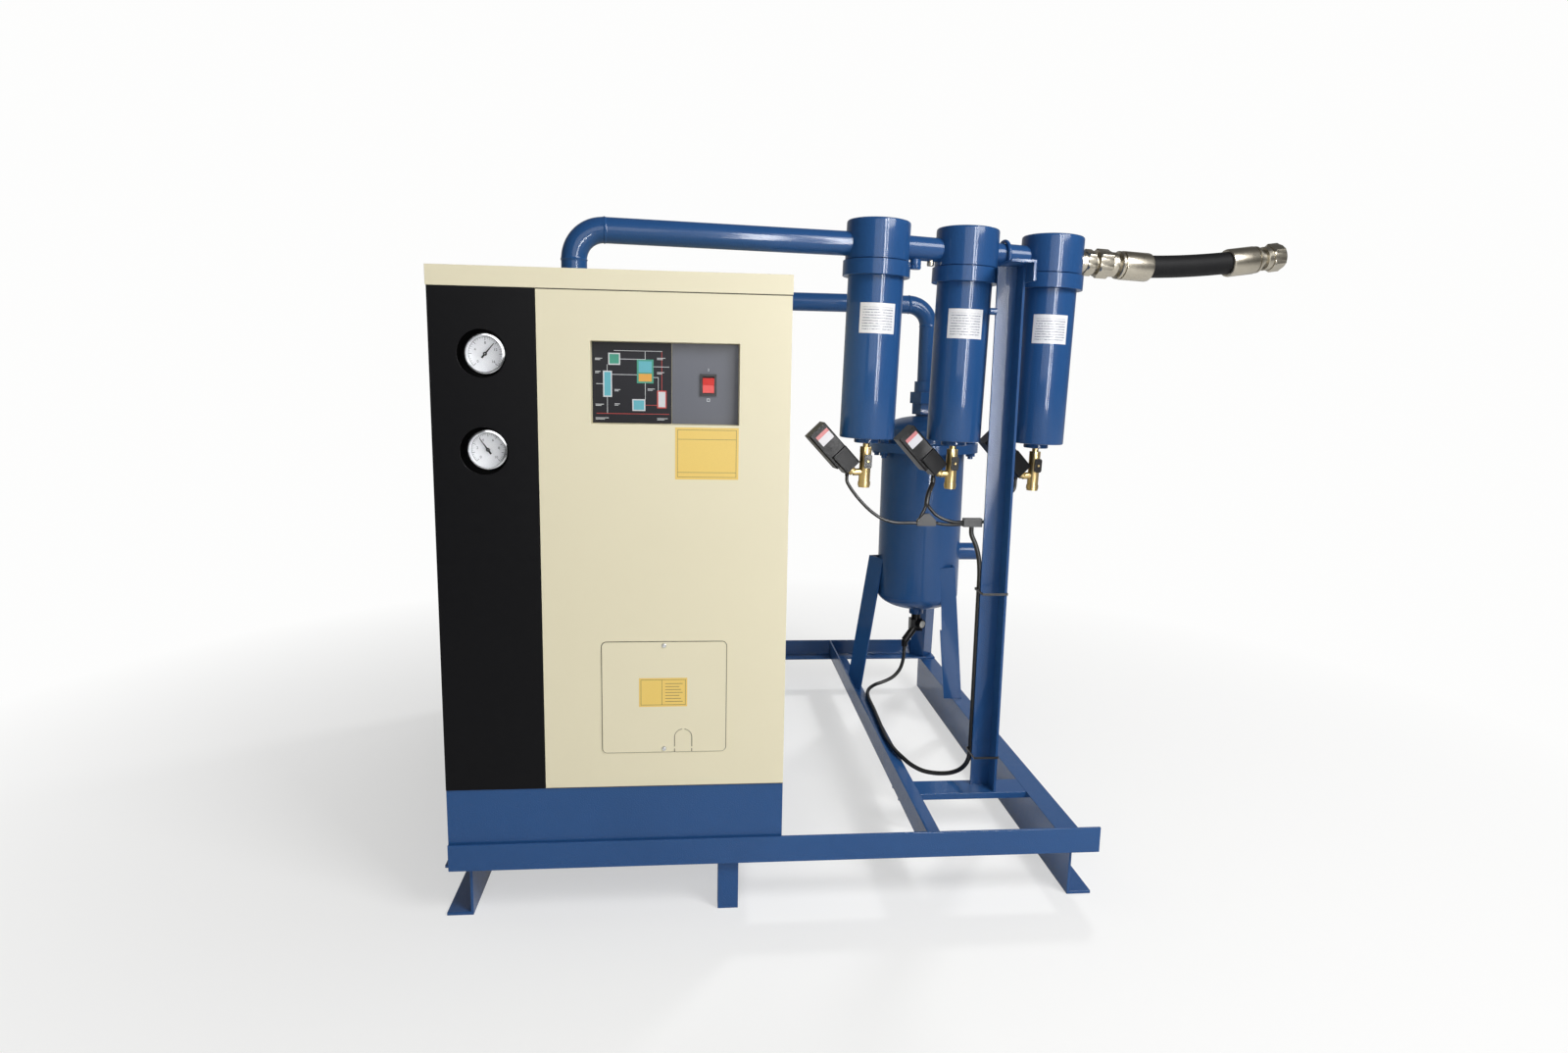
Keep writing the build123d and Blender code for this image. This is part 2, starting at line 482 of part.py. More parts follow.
# Filters, each with its drain valve
bowl_low = bowl_bottom - boss_height
elements = []
for number in (1, 2, 3):
    at = chain * Pos((number - 1) * filter_pitch, 0, 0)
    head = rod(0, 0, head_bottom, head_top, head_r)
    head = fillet(head.edges().filter_by(GeomType.CIRCLE).sort_by(Axis.Z)[-1], 5)
    head -= rod(0, 0, head_bottom, 24, 50) - rod(0, 0, head_bottom, 24, 28)
    head += rod_x(10, head_r - 4, 0, 0, 19)
    head -= rod_x(0, head_r, 0, 0, 14)
    head -= rod(0, 0, head_bottom, 0, 12)
    head -= rod_x(-head_r, -35, 0, 0, 18)
    if number > 1:
        head -= rod_x(-head_r, -head_r + socket_depth, 0, 0, pipe_r)
    if number < 3:
        head -= rod_x(head_r - socket_depth, head_r, 0, 0, pipe_r)
    else:
        head -= rod_x(head_r - socket_depth, head_r, 0, 0, 20)
    head = at * head
    if number == 1:
        head -= outlet_solid
    write(f"filter_{number}_head", head)
    bowl = rod(0, 0, collar_bottom, head_bottom, collar_r)
    bowl += rod(0, 0, bowl_bottom, collar_bottom, bowl_r)
    bowl = fillet(bowl.edges().filter_by(GeomType.CIRCLE).sort_by(Axis.Z)[0], 3)
    bowl += rod(0, 0, bowl_low, bowl_bottom, boss_r)
    bowl -= rod(0, 0, bowl_bottom + 6, head_bottom, bowl_r - bowl_wall)
    bowl -= rod(0, 0, bowl_low, bowl_bottom + 6, drain_bore)
    write(f"filter_{number}_bowl", at * bowl)
    element = rod(0, 0, -330, head_bottom - 6, 37) - rod(0, 0, -325, head_bottom - 6, 30)
    element += rod(0, 0, head_bottom - 8, head_bottom - 4, 40)
    element += rod(0, 0, -334, -328, 40)
    element += rod(0, 0, head_bottom - 6, head_bottom, 20)
    element -= rod(0, 0, -320, head_bottom, 12)
    elements.append(at * element)

    # Drain valve with its solenoid and timer
    low = bowl_low - valve_neck
    valve = rod(0, 0, low, bowl_low + 6, drain_bore)
    valve += rod(0, 0, low - valve_length, low, valve_r)
    valve += rod(0, 0, low - valve_length + 4, low - valve_length + 12, valve_r + 1.2)
    valve += hex_z(0, 0, low - 12, low, 22.5)
    branch_z = bowl_low - branch_drop
    rise = radians(coil_rise)
    along = (-cos(rise), 0, sin(rise))
    seat = (branch_x - 12 * along[0], 0, branch_z + 7 - 12 * along[2])
    valve += bar((0, 0, branch_z), seat, 7.5)
    coil_foot = (branch_x, 0, branch_z + 7)
    valve += bar(seat, coil_foot, 9.0)
    turn = radians(handle_turn)
    handle_z = low - handle_drop
    out = (cos(turn), sin(turn), 0)
    pivot = [r * out[0] for r in (8, valve_r + 9)], [r * out[1] for r in (8, valve_r + 9)]
    valve += bar((pivot[0][0], pivot[1][0], handle_z), (pivot[0][1], pivot[1][1], handle_z), 2.5)
    valve += bar((8 * out[0], 8 * out[1], handle_z), (15 * out[0], 15 * out[1], handle_z), 5.0)
    write(f"drain_{number}_valve", at * valve)
    coil_at = Plane(origin=coil_foot, x_dir=(0, 1, 0), z_dir=along)
    coil = slab(coil_at, coil_front, coil_back, coil_low, coil_high, 0, coil_length, 3)
    timer = slab(coil_at, timer_front, timer_back, timer_low, coil_high, timer_start, timer_end, 3)
    gland = rod(branch_x, gland_y, coil_foot[2] - 18, coil_foot[2] + 6, gland_r)
    write(f"drain_{number}_timer", at * (coil + timer + gland))
    sleeve = extrude(Plane.YZ * RectangleRounded(handle_width, handle_height, 5), 3.6)
    handle = rod_x(15.2, 19.8, 0, 0, 5.0) + Pos(16.2, 0, 0) * sleeve
    handle -= rod_x(15, 25, 0, 0, 2.5 + handle_gap)
    write(f"drain_{number}_handle", at * Pos(0, 0, handle_z) * Rot(0, 0, handle_turn) * handle)
write("filter_elements", Compound(elements))

# Pipes between the filter heads, with two plugs below the first
links = []
for number in (1, 2):
    x0 = (number - 1) * filter_pitch + head_r - socket_depth
    x1 = number * filter_pitch - head_r + socket_depth
    link = rod_x(x0, x1, 0, 0, pipe_r)
    if number == 1:
        link += rod(head_r + 19, 0, -pipe_r - 18, -10, 11.5) + rod(head_r + 52, 0, -pipe_r - 9, -10, 8)
    link -= rod_x(x0, x1, 0, 0, pipe_r - pipe_wall)
    links.append(chain * link)
write("link_pipes", Compound(links))

# Post with its bracket below the manifold
u_at = chain * Pos(u_bolt_run, 0, 0)
u_x, u_y, u_z = tuple(u_at.position)
bracket_x1 = post_x + bracket_width
lowest = tuple((chain * Pos(filter_pitch * 2 - head_r, 0, 0)).position)[2] - pipe_r - 0.2
bracket_top = lowest
post_wall = angle_wall
post_top = bracket_top - angle_wall
post = block(post_x, post_x + post_leg, post_y + post_leg - post_wall, post_y + post_leg, channel_height, post_top)
post += block(post_x + post_leg - post_wall, post_x + post_leg, post_y, post_y + post_leg, channel_height, post_top)
post += block(post_x, bracket_x1, bracket_y0, post_y + post_leg, post_top, bracket_top)
post += block(post_x + bracket_notch, bracket_x1, post_y + post_leg, bracket_y1, post_top, bracket_top)
post += block(bracket_x1 - angle_wall, bracket_x1, bracket_y0, bracket_y1, bracket_top - bracket_height, bracket_top)
post += rod_x(post_x - 14, post_x, post_y + post_leg - 8, 1128.0, 7)
u_r = pipe_r + u_bolt_rod + 0.4
u_frame = Pos(u_x, u_y, u_z) * Rot(0, 0, manifold_yaw)
for side in (-1, 1):
    post -= u_frame * rod(0, side * u_r, -80, 0, u_bolt_rod + 0.5)
write("post", post)

# U-bolt with nuts over the pipe
drop = u_z - post_top
u_bolt = bent([(0, -u_r, -drop - 22), (0, -u_r, u_r), (0, u_r, u_r), (0, u_r, -drop - 22)], u_r - 0.05, u_bolt_rod)
for side in (-1, 1):
    low_nut = hex_z(0, side * u_r, -drop - 7, -drop, 13)
    high_nut = hex_z(0, side * u_r, bracket_top - u_z, bracket_top - u_z + 6, 13)
    u_bolt += low_nut + (high_nut - rod_x(-20, 20, 0, 0, pipe_r + 0.3))
write("u_bolt", u_frame * u_bolt)


def dome(z, r, height, wall):
    """Dished head above z, or below it with a negative height."""
    outer = Pos(0, 0, z) * scale(Sphere(r), by=(1, 1, abs(height) / r))
    inner = Pos(0, 0, z) * scale(Sphere(r - wall), by=(1, 1, (abs(height) - wall) / (r - wall)))
    half = block(-r - 5, r + 5, -r - 5, r + 5, z, z + height * 1.2) if height > 0 else \
        block(-r - 5, r + 5, -r - 5, r + 5, z + height * 1.2, z)
    return (outer - inner) & half


# Separator vessel: shell with lower flange, side stub and drain boss
tank = Pos(tank_x, tank_y, 0)
shell = rod(0, 0, tank_seam, flange_z + flange_t, tank_r)
shell -= rod(0, 0, tank_seam, flange_z + flange_t, tank_r - tank_wall)
shell += dome(tank_seam, tank_r, tank_bottom - tank_seam, tank_wall)
shell += rod(0, 0, flange_z, flange_z + flange_t, flange_r) - rod(0, 0, flange_z, flange_z + flange_t, tank_r - tank_wall)
shell += rod(0, 0, tank_bottom - 18, tank_bottom + 3, 20)
shell -= rod(0, 0, tank_bottom - 18, tank_bottom + 10, 8)
stub = rod_x(tank_r - 12, stub_end - tank_x, 0, stub_z, pipe_r)
stub -= rod(0, 0, tank_seam, flange_z, tank_r - tank_wall)
shell += stub
shell -= rod_x(tank_r - 20, stub_end - tank_x, 0, stub_z, pipe_r - pipe_wall)
lid = rod(0, 0, flange_z + flange_t, lid_seam, tank_r) + rod(0, 0, flange_z + flange_t, flange_z + 2 * flange_t, flange_r)
lid -= rod(0, 0, flange_z + flange_t, lid_seam, tank_r - tank_wall)
lid += dome(lid_seam, tank_r, lid_top - lid_seam, tank_wall)
lid += rod(0, 0, lid_top - 4, nozzle_top, pipe_r)
lid -= rod(0, 0, lid_seam, nozzle_top, pipe_r - pipe_wall)
bolts = []
for index in range(8):
    spot = Rot(0, 0, 22.5 + 45 * index) * Pos(bolt_circle, 0, 0)
    shell -= spot * rod(0, 0, flange_z, flange_z + flange_t, bolt_r)
    lid -= spot * rod(0, 0, flange_z + flange_t, flange_z + 2 * flange_t, bolt_r)
    bolt = rod(0, 0, flange_z - 18, flange_z + 2 * flange_t, bolt_r)
    bolt += hex_z(0, 0, flange_z - 11, flange_z, 22) + hex_z(0, 0, flange_z + 2 * flange_t, flange_z + 2 * flange_t + 9, 22)
    bolts.append(tank * spot * bolt)
write("separator_shell", tank * shell)
write("separator_lid", tank * lid)
write("flange_bolts", Compound(bolts))

# Three angle legs from the shell to the skid: face is where a leg's wide side looks, side the edge of its flange
solid_shell = tank * rod(0, 0, 300, flange_z, tank_r)
leg_width, leg_wall = 50.0, 5.0
feet = (((949.0, 946.0, 490.0), (896.0, 950.0, tray_top), -140.0, 1),
        ((1125.0, 850.0, 478.0), (1165.0, 861.0, channel_height), -95.0, -1),
        ((1112.0, 1064.0, 490.0), (1157.0, 1261.0, tray_top), -132.0, -1))
tank_legs = []
for top, foot, face, side in feet:
    a, b = Vector(*top), Vector(*foot)
    d = (b - a).normalized()
    out = Vector(cos(radians(face)), sin(radians(face)), 0)
    frame = Plane(origin=a, x_dir=(out - d * out.dot(d)), z_dir=d)
    section = frame * (Pos(-leg_wall / 2, 0) * Rectangle(leg_wall, leg_width)) + frame * (
        Pos(-leg_width / 2, side * (leg_width - leg_wall) / 2) * Rectangle(leg_width, leg_wall))
    leg = extrude(section, (b - a).length + 60) - solid_shell
    leg &= block(0, 2 * skid_width, 0, 2 * skid_width, foot[2], flange_z)
    tank_legs.append(leg.solids().sort_by(SortBy.VOLUME)[-1])
write("separator_legs", Compound(tank_legs))

# Automatic drain below the vessel
drain_top = tank_bottom - 18
drain = rod(0, 0, drain_top - 18, drain_top + 12, 8) + rod(0, 0, drain_top - 16, drain_top, 13)
drain += block(-17, 17, -15, 15, drain_top - 50, drain_top - 16)
drain += bar((8, -14, drain_top - 28), (14, -24, drain_top - 28), 13)
drain += bar((-6, -8, drain_top - 42), (-33, -12, drain_top - 78), 10.5)
drain += rod(-33, -12, drain_top - 94, drain_top - 76, 8.5)
write("separator_drain", tank * drain)

# Hose fittings: adapter and nuts at the last filter, crimped ferrules at both hose ends
out_x = 2 * filter_pitch + head_r
fit_a = rod_x(out_x - 15, out_x + 14, 0, 0, 20)


def hex_x(x0, x1, across):
    return Pos(x0, 0, 0) * Rot(0, 90, 0) * extrude(RegularPolygon(across / 2, 6, major_radius=False), x1 - x0)


fit_a += hex_x(out_x + 10, out_x + 30, 50) + rod_x(out_x + 30, out_x + 38, 0, 0, 20)
fit_a += hex_x(out_x + 38, out_x + 70, 55) + rod_x(out_x + 70, out_x + 84, 0, 0, 26)
fit_a += rod_x(out_x + 84, ferrule_start, 0, 0, 20) + rod_x(ferrule_start, ferrule_end, 0, 0, ferrule_r)
fit_a -= rod_x(ferrule_start + 12, ferrule_end, 0, 0, hose_r)
fit_a -= rod_x(out_x - 15, ferrule_end, 0, 0, 12)
up = radians(hose_rise)
hose_mid = (hose_bend_at, 0, 0)
hose_end = (hose_bend_at + hose_second * cos(up), 0, hose_second * sin(up))
far = Pos(*hose_end) * Rot(0, -hose_rise, 0)
grip = ferrule_end - ferrule_start - 12
fit_b = rod_x(-grip, 12, 0, 0, ferrule_r) - rod_x(-grip, 0, 0, 0, hose_r)
fit_b += rod_x(12, 28, 0, 0, 20) + rod_x(28, 42, 0, 0, 26) + hex_x(42, 72, 55)
fit_b -= rod_x(-grip, 80, 0, 0, 12)
write("hose_fittings", Compound([chain * fit_a, chain * far * fit_b]))
hose_points = [(hose_start, 0, 0), hose_mid, hose_end]
reach = 0.45 * min(hose_bend_at - hose_start, hose_second) / tan(up / 2)
hose_points = [tuple((chain * Pos(*p)).position) for p in hose_points]
write("hose", bent(hose_points, reach, hose_r, hose_bore_r))
print("hose bend radius", round(reach, 1), "tube radius", hose_r)

# Cables
cable_r, bundle_r = 3.5, 5.0


def smooth(way, step):
    """Waypoints joined by a Catmull-Rom curve and sampled at about the step."""
    way = [Vector(*p) for p in way]
    ends = [way[0] * 2 - way[1]] + way + [way[-1] * 2 - way[-2]]
    points = [way[0]]
    for i in range(1, len(ends) - 2):
        a, b, c, d = ends[i - 1:i + 3]
        count = max(1, round((c - b).length / step))
        for k in range(1, count + 1):
            t = k / count
            points.append((b * 2 + (c - a) * t + (a * 2 - b * 5 + c * 4 - d) * t * t
                           + (b * 3 - a - c * 3 + d) * t * t * t) * 0.5)
    return points


def cable(points, r):
    """Tube of straight runs joined by the widest tangent arcs that fit."""
    kept = [points[0]]
    for i in range(1, len(points) - 1):
        if (points[i] - kept[-1]).get_angle(points[i + 1] - points[i]) > 1.0:
            kept.append(points[i])
    kept.append(points[-1])
    radii = []
    for i in range(1, len(kept) - 1):
        before, after = kept[i] - kept[i - 1], kept[i + 1] - kept[i]
        half_turn = radians(before.get_angle(after)) / 2
        radii.append(0.45 * min(before.length, after.length) / tan(half_turn))
    return bent([tuple(p) for p in kept], radii, r)


def local(x, y, z, number=1):
    return tuple((chain * Pos((number - 1) * filter_pitch + x, y, z)).position)


gland_z = bowl_low - branch_drop + 7 - 18
joint = Vector(932.0, 335.0, 686.0)
plug = Vector(1030.0, 324.0, 687.0)
trunk_x = post_x - 1.0
trunk_y = post_y + post_leg + bundle_r + 0.6

# Valve cables, from each gland to the joint block and the plug at the post, with ties
split = (932, 337, 726)
valve_ways = (
    (local(branch_x, gland_y, gland_z, 1), local(branch_x, gland_y, gland_z - 12, 1), (766, 342, 758),
     (777, 340, 743), (793, 338, 725), (811, 337, 708), (836, 336, 691), (865, 336, 683.5),
      (893, 335, 684), tuple(joint + Vector(-18, 0, -2))),
    (tuple(joint + Vector(18, 0, -2)), (972, 332, 681), (992, 329, 681), tuple(plug + Vector(-18, 0, -4))),
    (split, (928, 336, 713), (921, 335, 701), tuple(joint + Vector(-14, 0, 4))),
    (split, (941, 335, 713), (954, 334, 700), (973, 332, 690.5), (994, 328, 686), tuple(plug + Vector(-18, 0, 1))),
    (local(branch_x, gland_y, gland_z, 3), local(branch_x, gland_y, gland_z - 24, 3), (1114, 374, 736),
     (1092, 352, 706), (1070, 334, 690), tuple(plug + Vector(18, 0, 0))),
)
outline = Polyline((-20, -8), (20, -8), (20, 4), (6, 18), (-6, 18), (-20, 4), close=True)
harness = Pos(*joint) * extrude(Plane.XZ * make_face(outline), 6.5, both=True)
harness += Pos(*plug) * Box(40, 15, 18)
for way in valve_ways:
    harness += cable(smooth(way, 30), cable_r)
sleeve_way = (local(branch_x, gland_y, gland_z, 2), local(branch_x, gland_y, gland_z - 12, 2), (946, 361, 758), (939, 350, 748), (933, 340, 733), (932, 336, 719))
harness += cable(smooth(sleeve_way, 30), 1.5 * cable_r)
ties = []
for z in (540.0, 176.0):
    x0, x1 = trunk_x - bundle_r - 0.9, post_x + post_leg + 0.3
    y0, y1 = post_y - 0.3, trunk_y + bundle_r + 0.9
    ties.append(block(x0 - 1.2, x1 + 1.2, y0 - 1.2, y1 + 1.2, z, z + 5) - block(x0, x1, y0, y1, z, z + 5))
write("valve_harness", Compound([harness] + ties))

# Trunk cable: down the post, in a loop to the middle rail's tray, and up to the vessel's drain
drain_plug = (tank_x - 33, tank_y - 12, drain_top - 94)
tray_z = tray_top + bundle_r + 0.4
trunk_way = (
    tuple(plug + Vector(-1, 0, -9)), tuple(plug + Vector(-1, 0, -26)), (1039, 320, 640), (1047, 317.5, 612),
    (trunk_x, trunk_y, 578), (trunk_x, trunk_y, 520), (trunk_x, trunk_y, 420), (trunk_x, trunk_y, 320),
    (trunk_x, trunk_y, 230), (trunk_x, trunk_y, 170), (1046, 320, 145), (1034, 330, 124), (1015, 346, 109),
    (990, 366, 100), (962, 385, 98), (938, 404, 106), (925, 432, 112), (917, 470, 112), (912, 560, tray_z),
    (916, 660, tray_z), (920, 760, tray_z), (921, 840, tray_z), (925, 886, 111.5), (937, 920, 113),
    (957, 941, 117), (985, 948, 123), (1012, 948, 136), (1032, 948, 160), (1040, 948, 190),
    (drain_plug[0], drain_plug[1], drain_plug[2] - 14), drain_plug)
write("trunk_cable", cable(smooth(trunk_way, 60), bundle_r))
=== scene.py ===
"""Looks of the skid mounted air dryer: cabinet, line filters, separator vessel, piping and hose."""

from math import atan2, cos, pi, radians, sin, sqrt, tan

import bmesh
import bpy
import numpy as np
from mathutils import Matrix, Vector


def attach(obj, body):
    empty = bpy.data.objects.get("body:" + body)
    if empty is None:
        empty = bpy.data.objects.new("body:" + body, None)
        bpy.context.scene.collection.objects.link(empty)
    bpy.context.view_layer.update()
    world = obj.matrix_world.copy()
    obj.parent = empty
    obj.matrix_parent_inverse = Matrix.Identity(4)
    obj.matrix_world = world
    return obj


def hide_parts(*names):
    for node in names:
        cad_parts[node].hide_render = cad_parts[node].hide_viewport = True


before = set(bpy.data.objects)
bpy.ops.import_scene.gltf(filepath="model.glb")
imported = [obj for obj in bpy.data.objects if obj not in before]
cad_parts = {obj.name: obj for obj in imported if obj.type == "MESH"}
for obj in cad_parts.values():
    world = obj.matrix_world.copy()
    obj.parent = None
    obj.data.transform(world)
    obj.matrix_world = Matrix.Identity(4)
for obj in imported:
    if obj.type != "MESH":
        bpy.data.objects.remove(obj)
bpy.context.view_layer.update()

# Camera, at the photograph's place: a wide lens about a metre high, 1.6 m in front of the
# cabinet, turned a little to the right and down. Points in millimetres are taken from the
# cabinet's lower front left corner line, and to_row moves them to the part's own origin.
to_row = np.array([625.414, 642.5, 0.0])
eye = (np.array([434.23, -1608.84, 988.16]) - to_row) / 1000
cam_yaw, cam_pitch, cam_roll = 0.0982, 0.1591, 0.0198
ahead = Vector((sin(cam_yaw) * cos(cam_pitch), cos(cam_yaw) * cos(cam_pitch), -sin(cam_pitch)))
level = Vector((cos(cam_yaw), -sin(cam_yaw), 0))
upright = level.cross(ahead)
right = level * cos(cam_roll) + upright * sin(cam_roll)
top = upright * cos(cam_roll) - level * sin(cam_roll)
camera = bpy.data.objects.new("camera", bpy.data.cameras.new("camera"))
camera.data.lens, camera.data.sensor_width = 21.455, 36.0
camera.matrix_world = Matrix.Translation(Vector(eye)) @ Matrix((right, top, -ahead)).transposed().to_4x4()
bpy.context.scene.collection.objects.link(camera)
bpy.context.scene.camera = camera

# Outlet hose: stiff rubber pressure hose, 48 mm thick, crimped into a plated sleeve at both
# ends. It leaves the last filter in line with the manifold, which runs 8 degrees to the back
# and 1.5 degrees down, and rises gently.
manifold = np.array([806.5, 336.0, 1256.0])
swing, dip = radians(8.0), radians(1.5)
swung = np.array([[cos(swing), -sin(swing), 0], [sin(swing), cos(swing), 0], [0, 0, 1]])
chain_turn = swung @ np.array([[cos(dip), 0, sin(dip)], [0, 1, 0], [-sin(dip), 0, cos(dip)]])


def on_chain(points, turn=chain_turn):
    """Manifold points in mm, x along its pipes, turned and moved to where the manifold hangs."""
    return np.asarray(points, float) @ turn.T + manifold


hose_rise = radians(10.0)
hose_far = np.array([690 + 200 * cos(hose_rise), 0, 200 * sin(hose_rise)])
hose_way = (on_chain([(560, 0, 0), (690, 0, 0), hose_far]) - to_row) / 1000
line = bpy.data.curves.new("outlet_hose", "CURVE")
line.dimensions, line.bevel_depth, line.bevel_resolution, line.resolution_u = "3D", 1.0, 14, 40
spline = line.splines.new("NURBS")
spline.points.add(len(hose_way) - 1)
for control, place in zip(spline.points, hose_way):
    control.co, control.radius = (*place, 1), 0.024
spline.order_u, spline.use_endpoint_u = 3, True
hose = bpy.data.objects.new("outlet_hose", line)
bpy.context.scene.collection.objects.link(hose)
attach(hose, "dryer")
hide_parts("hose")


class Level:
    """A shader value. Sums written with it, also from a plain number's side, add Math nodes."""

    def __init__(self, finish, socket):
        self.finish, self.socket = finish, socket

    def count(self, operation, *values):
        return self.finish.node("Math", {"operation": operation}, dict(enumerate(values)))

    def __add__(self, other):
        return self.count("ADD", self, other)

    def __radd__(self, other):
        return self.count("ADD", other, self)

    def __sub__(self, other):
        return self.count("SUBTRACT", self, other)

    def __rsub__(self, other):
        return self.count("SUBTRACT", other, self)

    def __mul__(self, other):
        return self.count("MULTIPLY", self, other)

    def __rmul__(self, other):
        return self.count("MULTIPLY", other, self)

    def __truediv__(self, other):
        return self.count("DIVIDE", self, other)

    def __lt__(self, other):
        return self.count("LESS_THAN", self, other)

    def __gt__(self, other):
        return self.count("GREATER_THAN", self, other)

    def __abs__(self):
        return self.count("ABSOLUTE", self)


class Finish:
    """One material. Its plain values sit on the shader's own sockets; what varies is linked to them."""

    def __init__(self, name, colour, roughness, metallic=0.0, **sockets):
        self.material = bpy.data.materials.new(name)
        self.material.use_nodes = True
        self.tree = self.material.node_tree
        self.shader = self.tree.nodes["Principled BSDF"]
        self.shader.inputs["Base Color"].default_value = (*colour, 1)
        self.shader.inputs["Roughness"].default_value = roughness
        self.shader.inputs["Metallic"].default_value = metallic
        self.colour = (*colour, 1)
        for socket, value in sockets.items():
            self.shader.inputs[socket.replace("_", " ")].default_value = value

    def node(self, kind, settings=(), values=(), out=0):
        """Any node: its settings first, then its sockets by name or number, as numbers or links."""
        made = self.tree.nodes.new("ShaderNode" + kind)
        for key, value in dict(settings).items():
            if key == "stops":
                ramp = made.color_ramp.elements
                while len(ramp) < len(value):
                    ramp.new(1.0)
                for stop, (place, tone) in zip(ramp, value):
                    stop.position, stop.color = place, tone
            else:
                setattr(made, key, value)
        for key, value in dict(values).items():
            if isinstance(value, Level):
                self.tree.links.new(value.socket, made.inputs[key])
            else:
                made.inputs[key].default_value = value
        return Level(self, made.outputs[out])

    def place(self, out="Object"):
        return self.node("TexCoord", out=out)

    def noise(self, scale, detail=2.0, stretch=None, rough=0.5):
        """Cloudy grain in the part's own coordinates, in repeats to the metre."""
        at = self.place()
        if stretch:
            at = self.node("Mapping", {}, {"Vector": at, "Scale": stretch})
        return self.node("TexNoise", {}, {"Vector": at, "Scale": scale, "Detail": detail, "Roughness": rough})

    def between(self, mask, first, second):
        return self.node("Mix", {"data_type": "RGBA"}, {0: mask, 6: first, 7: second}, 2)

    def feed(self, socket, level):
        self.tree.links.new(level.socket, self.shader.inputs[socket])
        return self

    def relief(self, height, depth, strength=1.0):
        bump = self.node("Bump", {}, {"Height": height, "Distance": depth, "Strength": strength})
        return self.feed("Normal", bump)


def grain(name, colour, roughness, metallic=0.0, spread=0.04, patch=9.0, peel=0.0, peel_scale=420.0, worn=0.06,
          **sockets):
    """A finish with slow colour drift, uneven gloss and, for paint, the dimples of orange peel."""
    made = Finish(name, colour, roughness, metallic, **sockets)
    cloud = made.noise(patch, 4.0)
    darker = tuple(c * (1 - 2 * spread) for c in colour) + (1,)
    lighter = tuple(min(1.0, c * (1 + 2 * spread)) for c in colour) + (1,)
    made.feed("Base Color", made.between(cloud, darker, lighter))
    fine = made.noise(patch * 14, 3.0)
    made.feed("Roughness", (fine - 0.5) * (2 * worn) + roughness)
    if peel:
        made.relief(made.noise(peel_scale, 2.0), peel)
    return made


rubber = Finish("hose_rubber", (0.006, 0.006, 0.007), 0.55, Specular_IOR_Level=0.18)
rubber.feed("Base Color", rubber.between(rubber.noise(26, 4), (0.004, 0.004, 0.005, 1), (0.010, 0.010, 0.011, 1)))
wrap = rubber.node("TexWave", {"wave_type": "BANDS", "bands_direction": "X"},
                   {"Vector": rubber.place(), "Scale": 95.0, "Distortion": 2.5, "Detail": 2.0})
rubber.relief(wrap * 0.35 + rubber.noise(700, 2), 0.0004, 0.5)
line.materials.append(rubber.material)


def turned(stations, around=96):
    """Surface of revolution about x: ring i stands at x_i with radius r_i. A third value above 0
    makes it a hexagon, with radius r_i / cos(angle from the nearest flat's middle), capped there."""
    table = np.array([(*s, 0.0)[:3] for s in stations], float)
    angle = np.arange(around) * 2 * pi / around
    from_flat = (angle + pi / 6) % (pi / 3) - pi / 6
    ring = np.where(table[:, 2:] > 0, np.minimum(table[:, 1:2] / np.cos(from_flat), table[:, 2:]), table[:, 1:2])
    points = np.stack([np.repeat(table[:, :1], around, 1), ring * np.cos(angle), ring * np.sin(angle)], -1)
    row, col = np.meshgrid(np.arange(len(table) - 1), np.arange(around), indexing="ij")
    corner = row * around + col
    across = row * around + (col + 1) % around
    quads = np.stack([corner, corner + around, across + around, across], -1).reshape(-1, 4)
    return points.reshape(-1, 3), quads


def facing(axis, origin=(0, 0, 0)):
    """Turn and place for a turned surface, whose own x axis comes to lie along the given axis."""
    x = np.array(axis, float) / np.linalg.norm(axis)
    side = np.cross(x, (0, 0, 1.0) if abs(x[2]) < 0.9 else (0, 1.0, 0))
    side /= np.linalg.norm(side)
    return np.stack([x, side, np.cross(x, side)], 1), np.array(origin, float)


def moved(surface, turn, place):
    return surface[0] @ turn.T + place, surface[1]


def joined(*surfaces):
    """Several surfaces as one: points one after the other, face numbers counted on."""
    counts = np.cumsum([0] + [len(points) for points, _ in surfaces])
    return (np.concatenate([points for points, _ in surfaces]),
            [tuple(int(i) + start for i in face) for (_, faces), start in zip(surfaces, counts) for face in faces])


def make(name, surface, finish, body="dryer", stands_for=(), sharp=32.0, in_mm=True):
    """Puts points and faces into a mesh of the given finish that rides on a body of the frame."""
    points, faces = surface
    points = (np.asarray(points, float) - to_row) / 1000 if in_mm else np.asarray(points, float)
    mesh = bpy.data.meshes.new(name)
    mesh.from_pydata(points, [], [tuple(int(i) for i in face) for face in faces])
    mesh.materials.append(finish.material)
    mesh.validate()
    body_mesh = bmesh.new()
    body_mesh.from_mesh(mesh)
    bmesh.ops.remove_doubles(body_mesh, verts=body_mesh.verts, dist=2e-6)
    bmesh.ops.recalc_face_normals(body_mesh, faces=body_mesh.faces)
    body_mesh.to_mesh(mesh)
    body_mesh.free()
    mesh.shade_smooth()
    mesh.set_sharp_from_angle(angle=radians(sharp))
    made = bpy.data.objects.new(name, mesh)
    bpy.context.scene.collection.objects.link(made)
    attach(made, body)
    if stands_for:
        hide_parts(*stands_for)
    return made


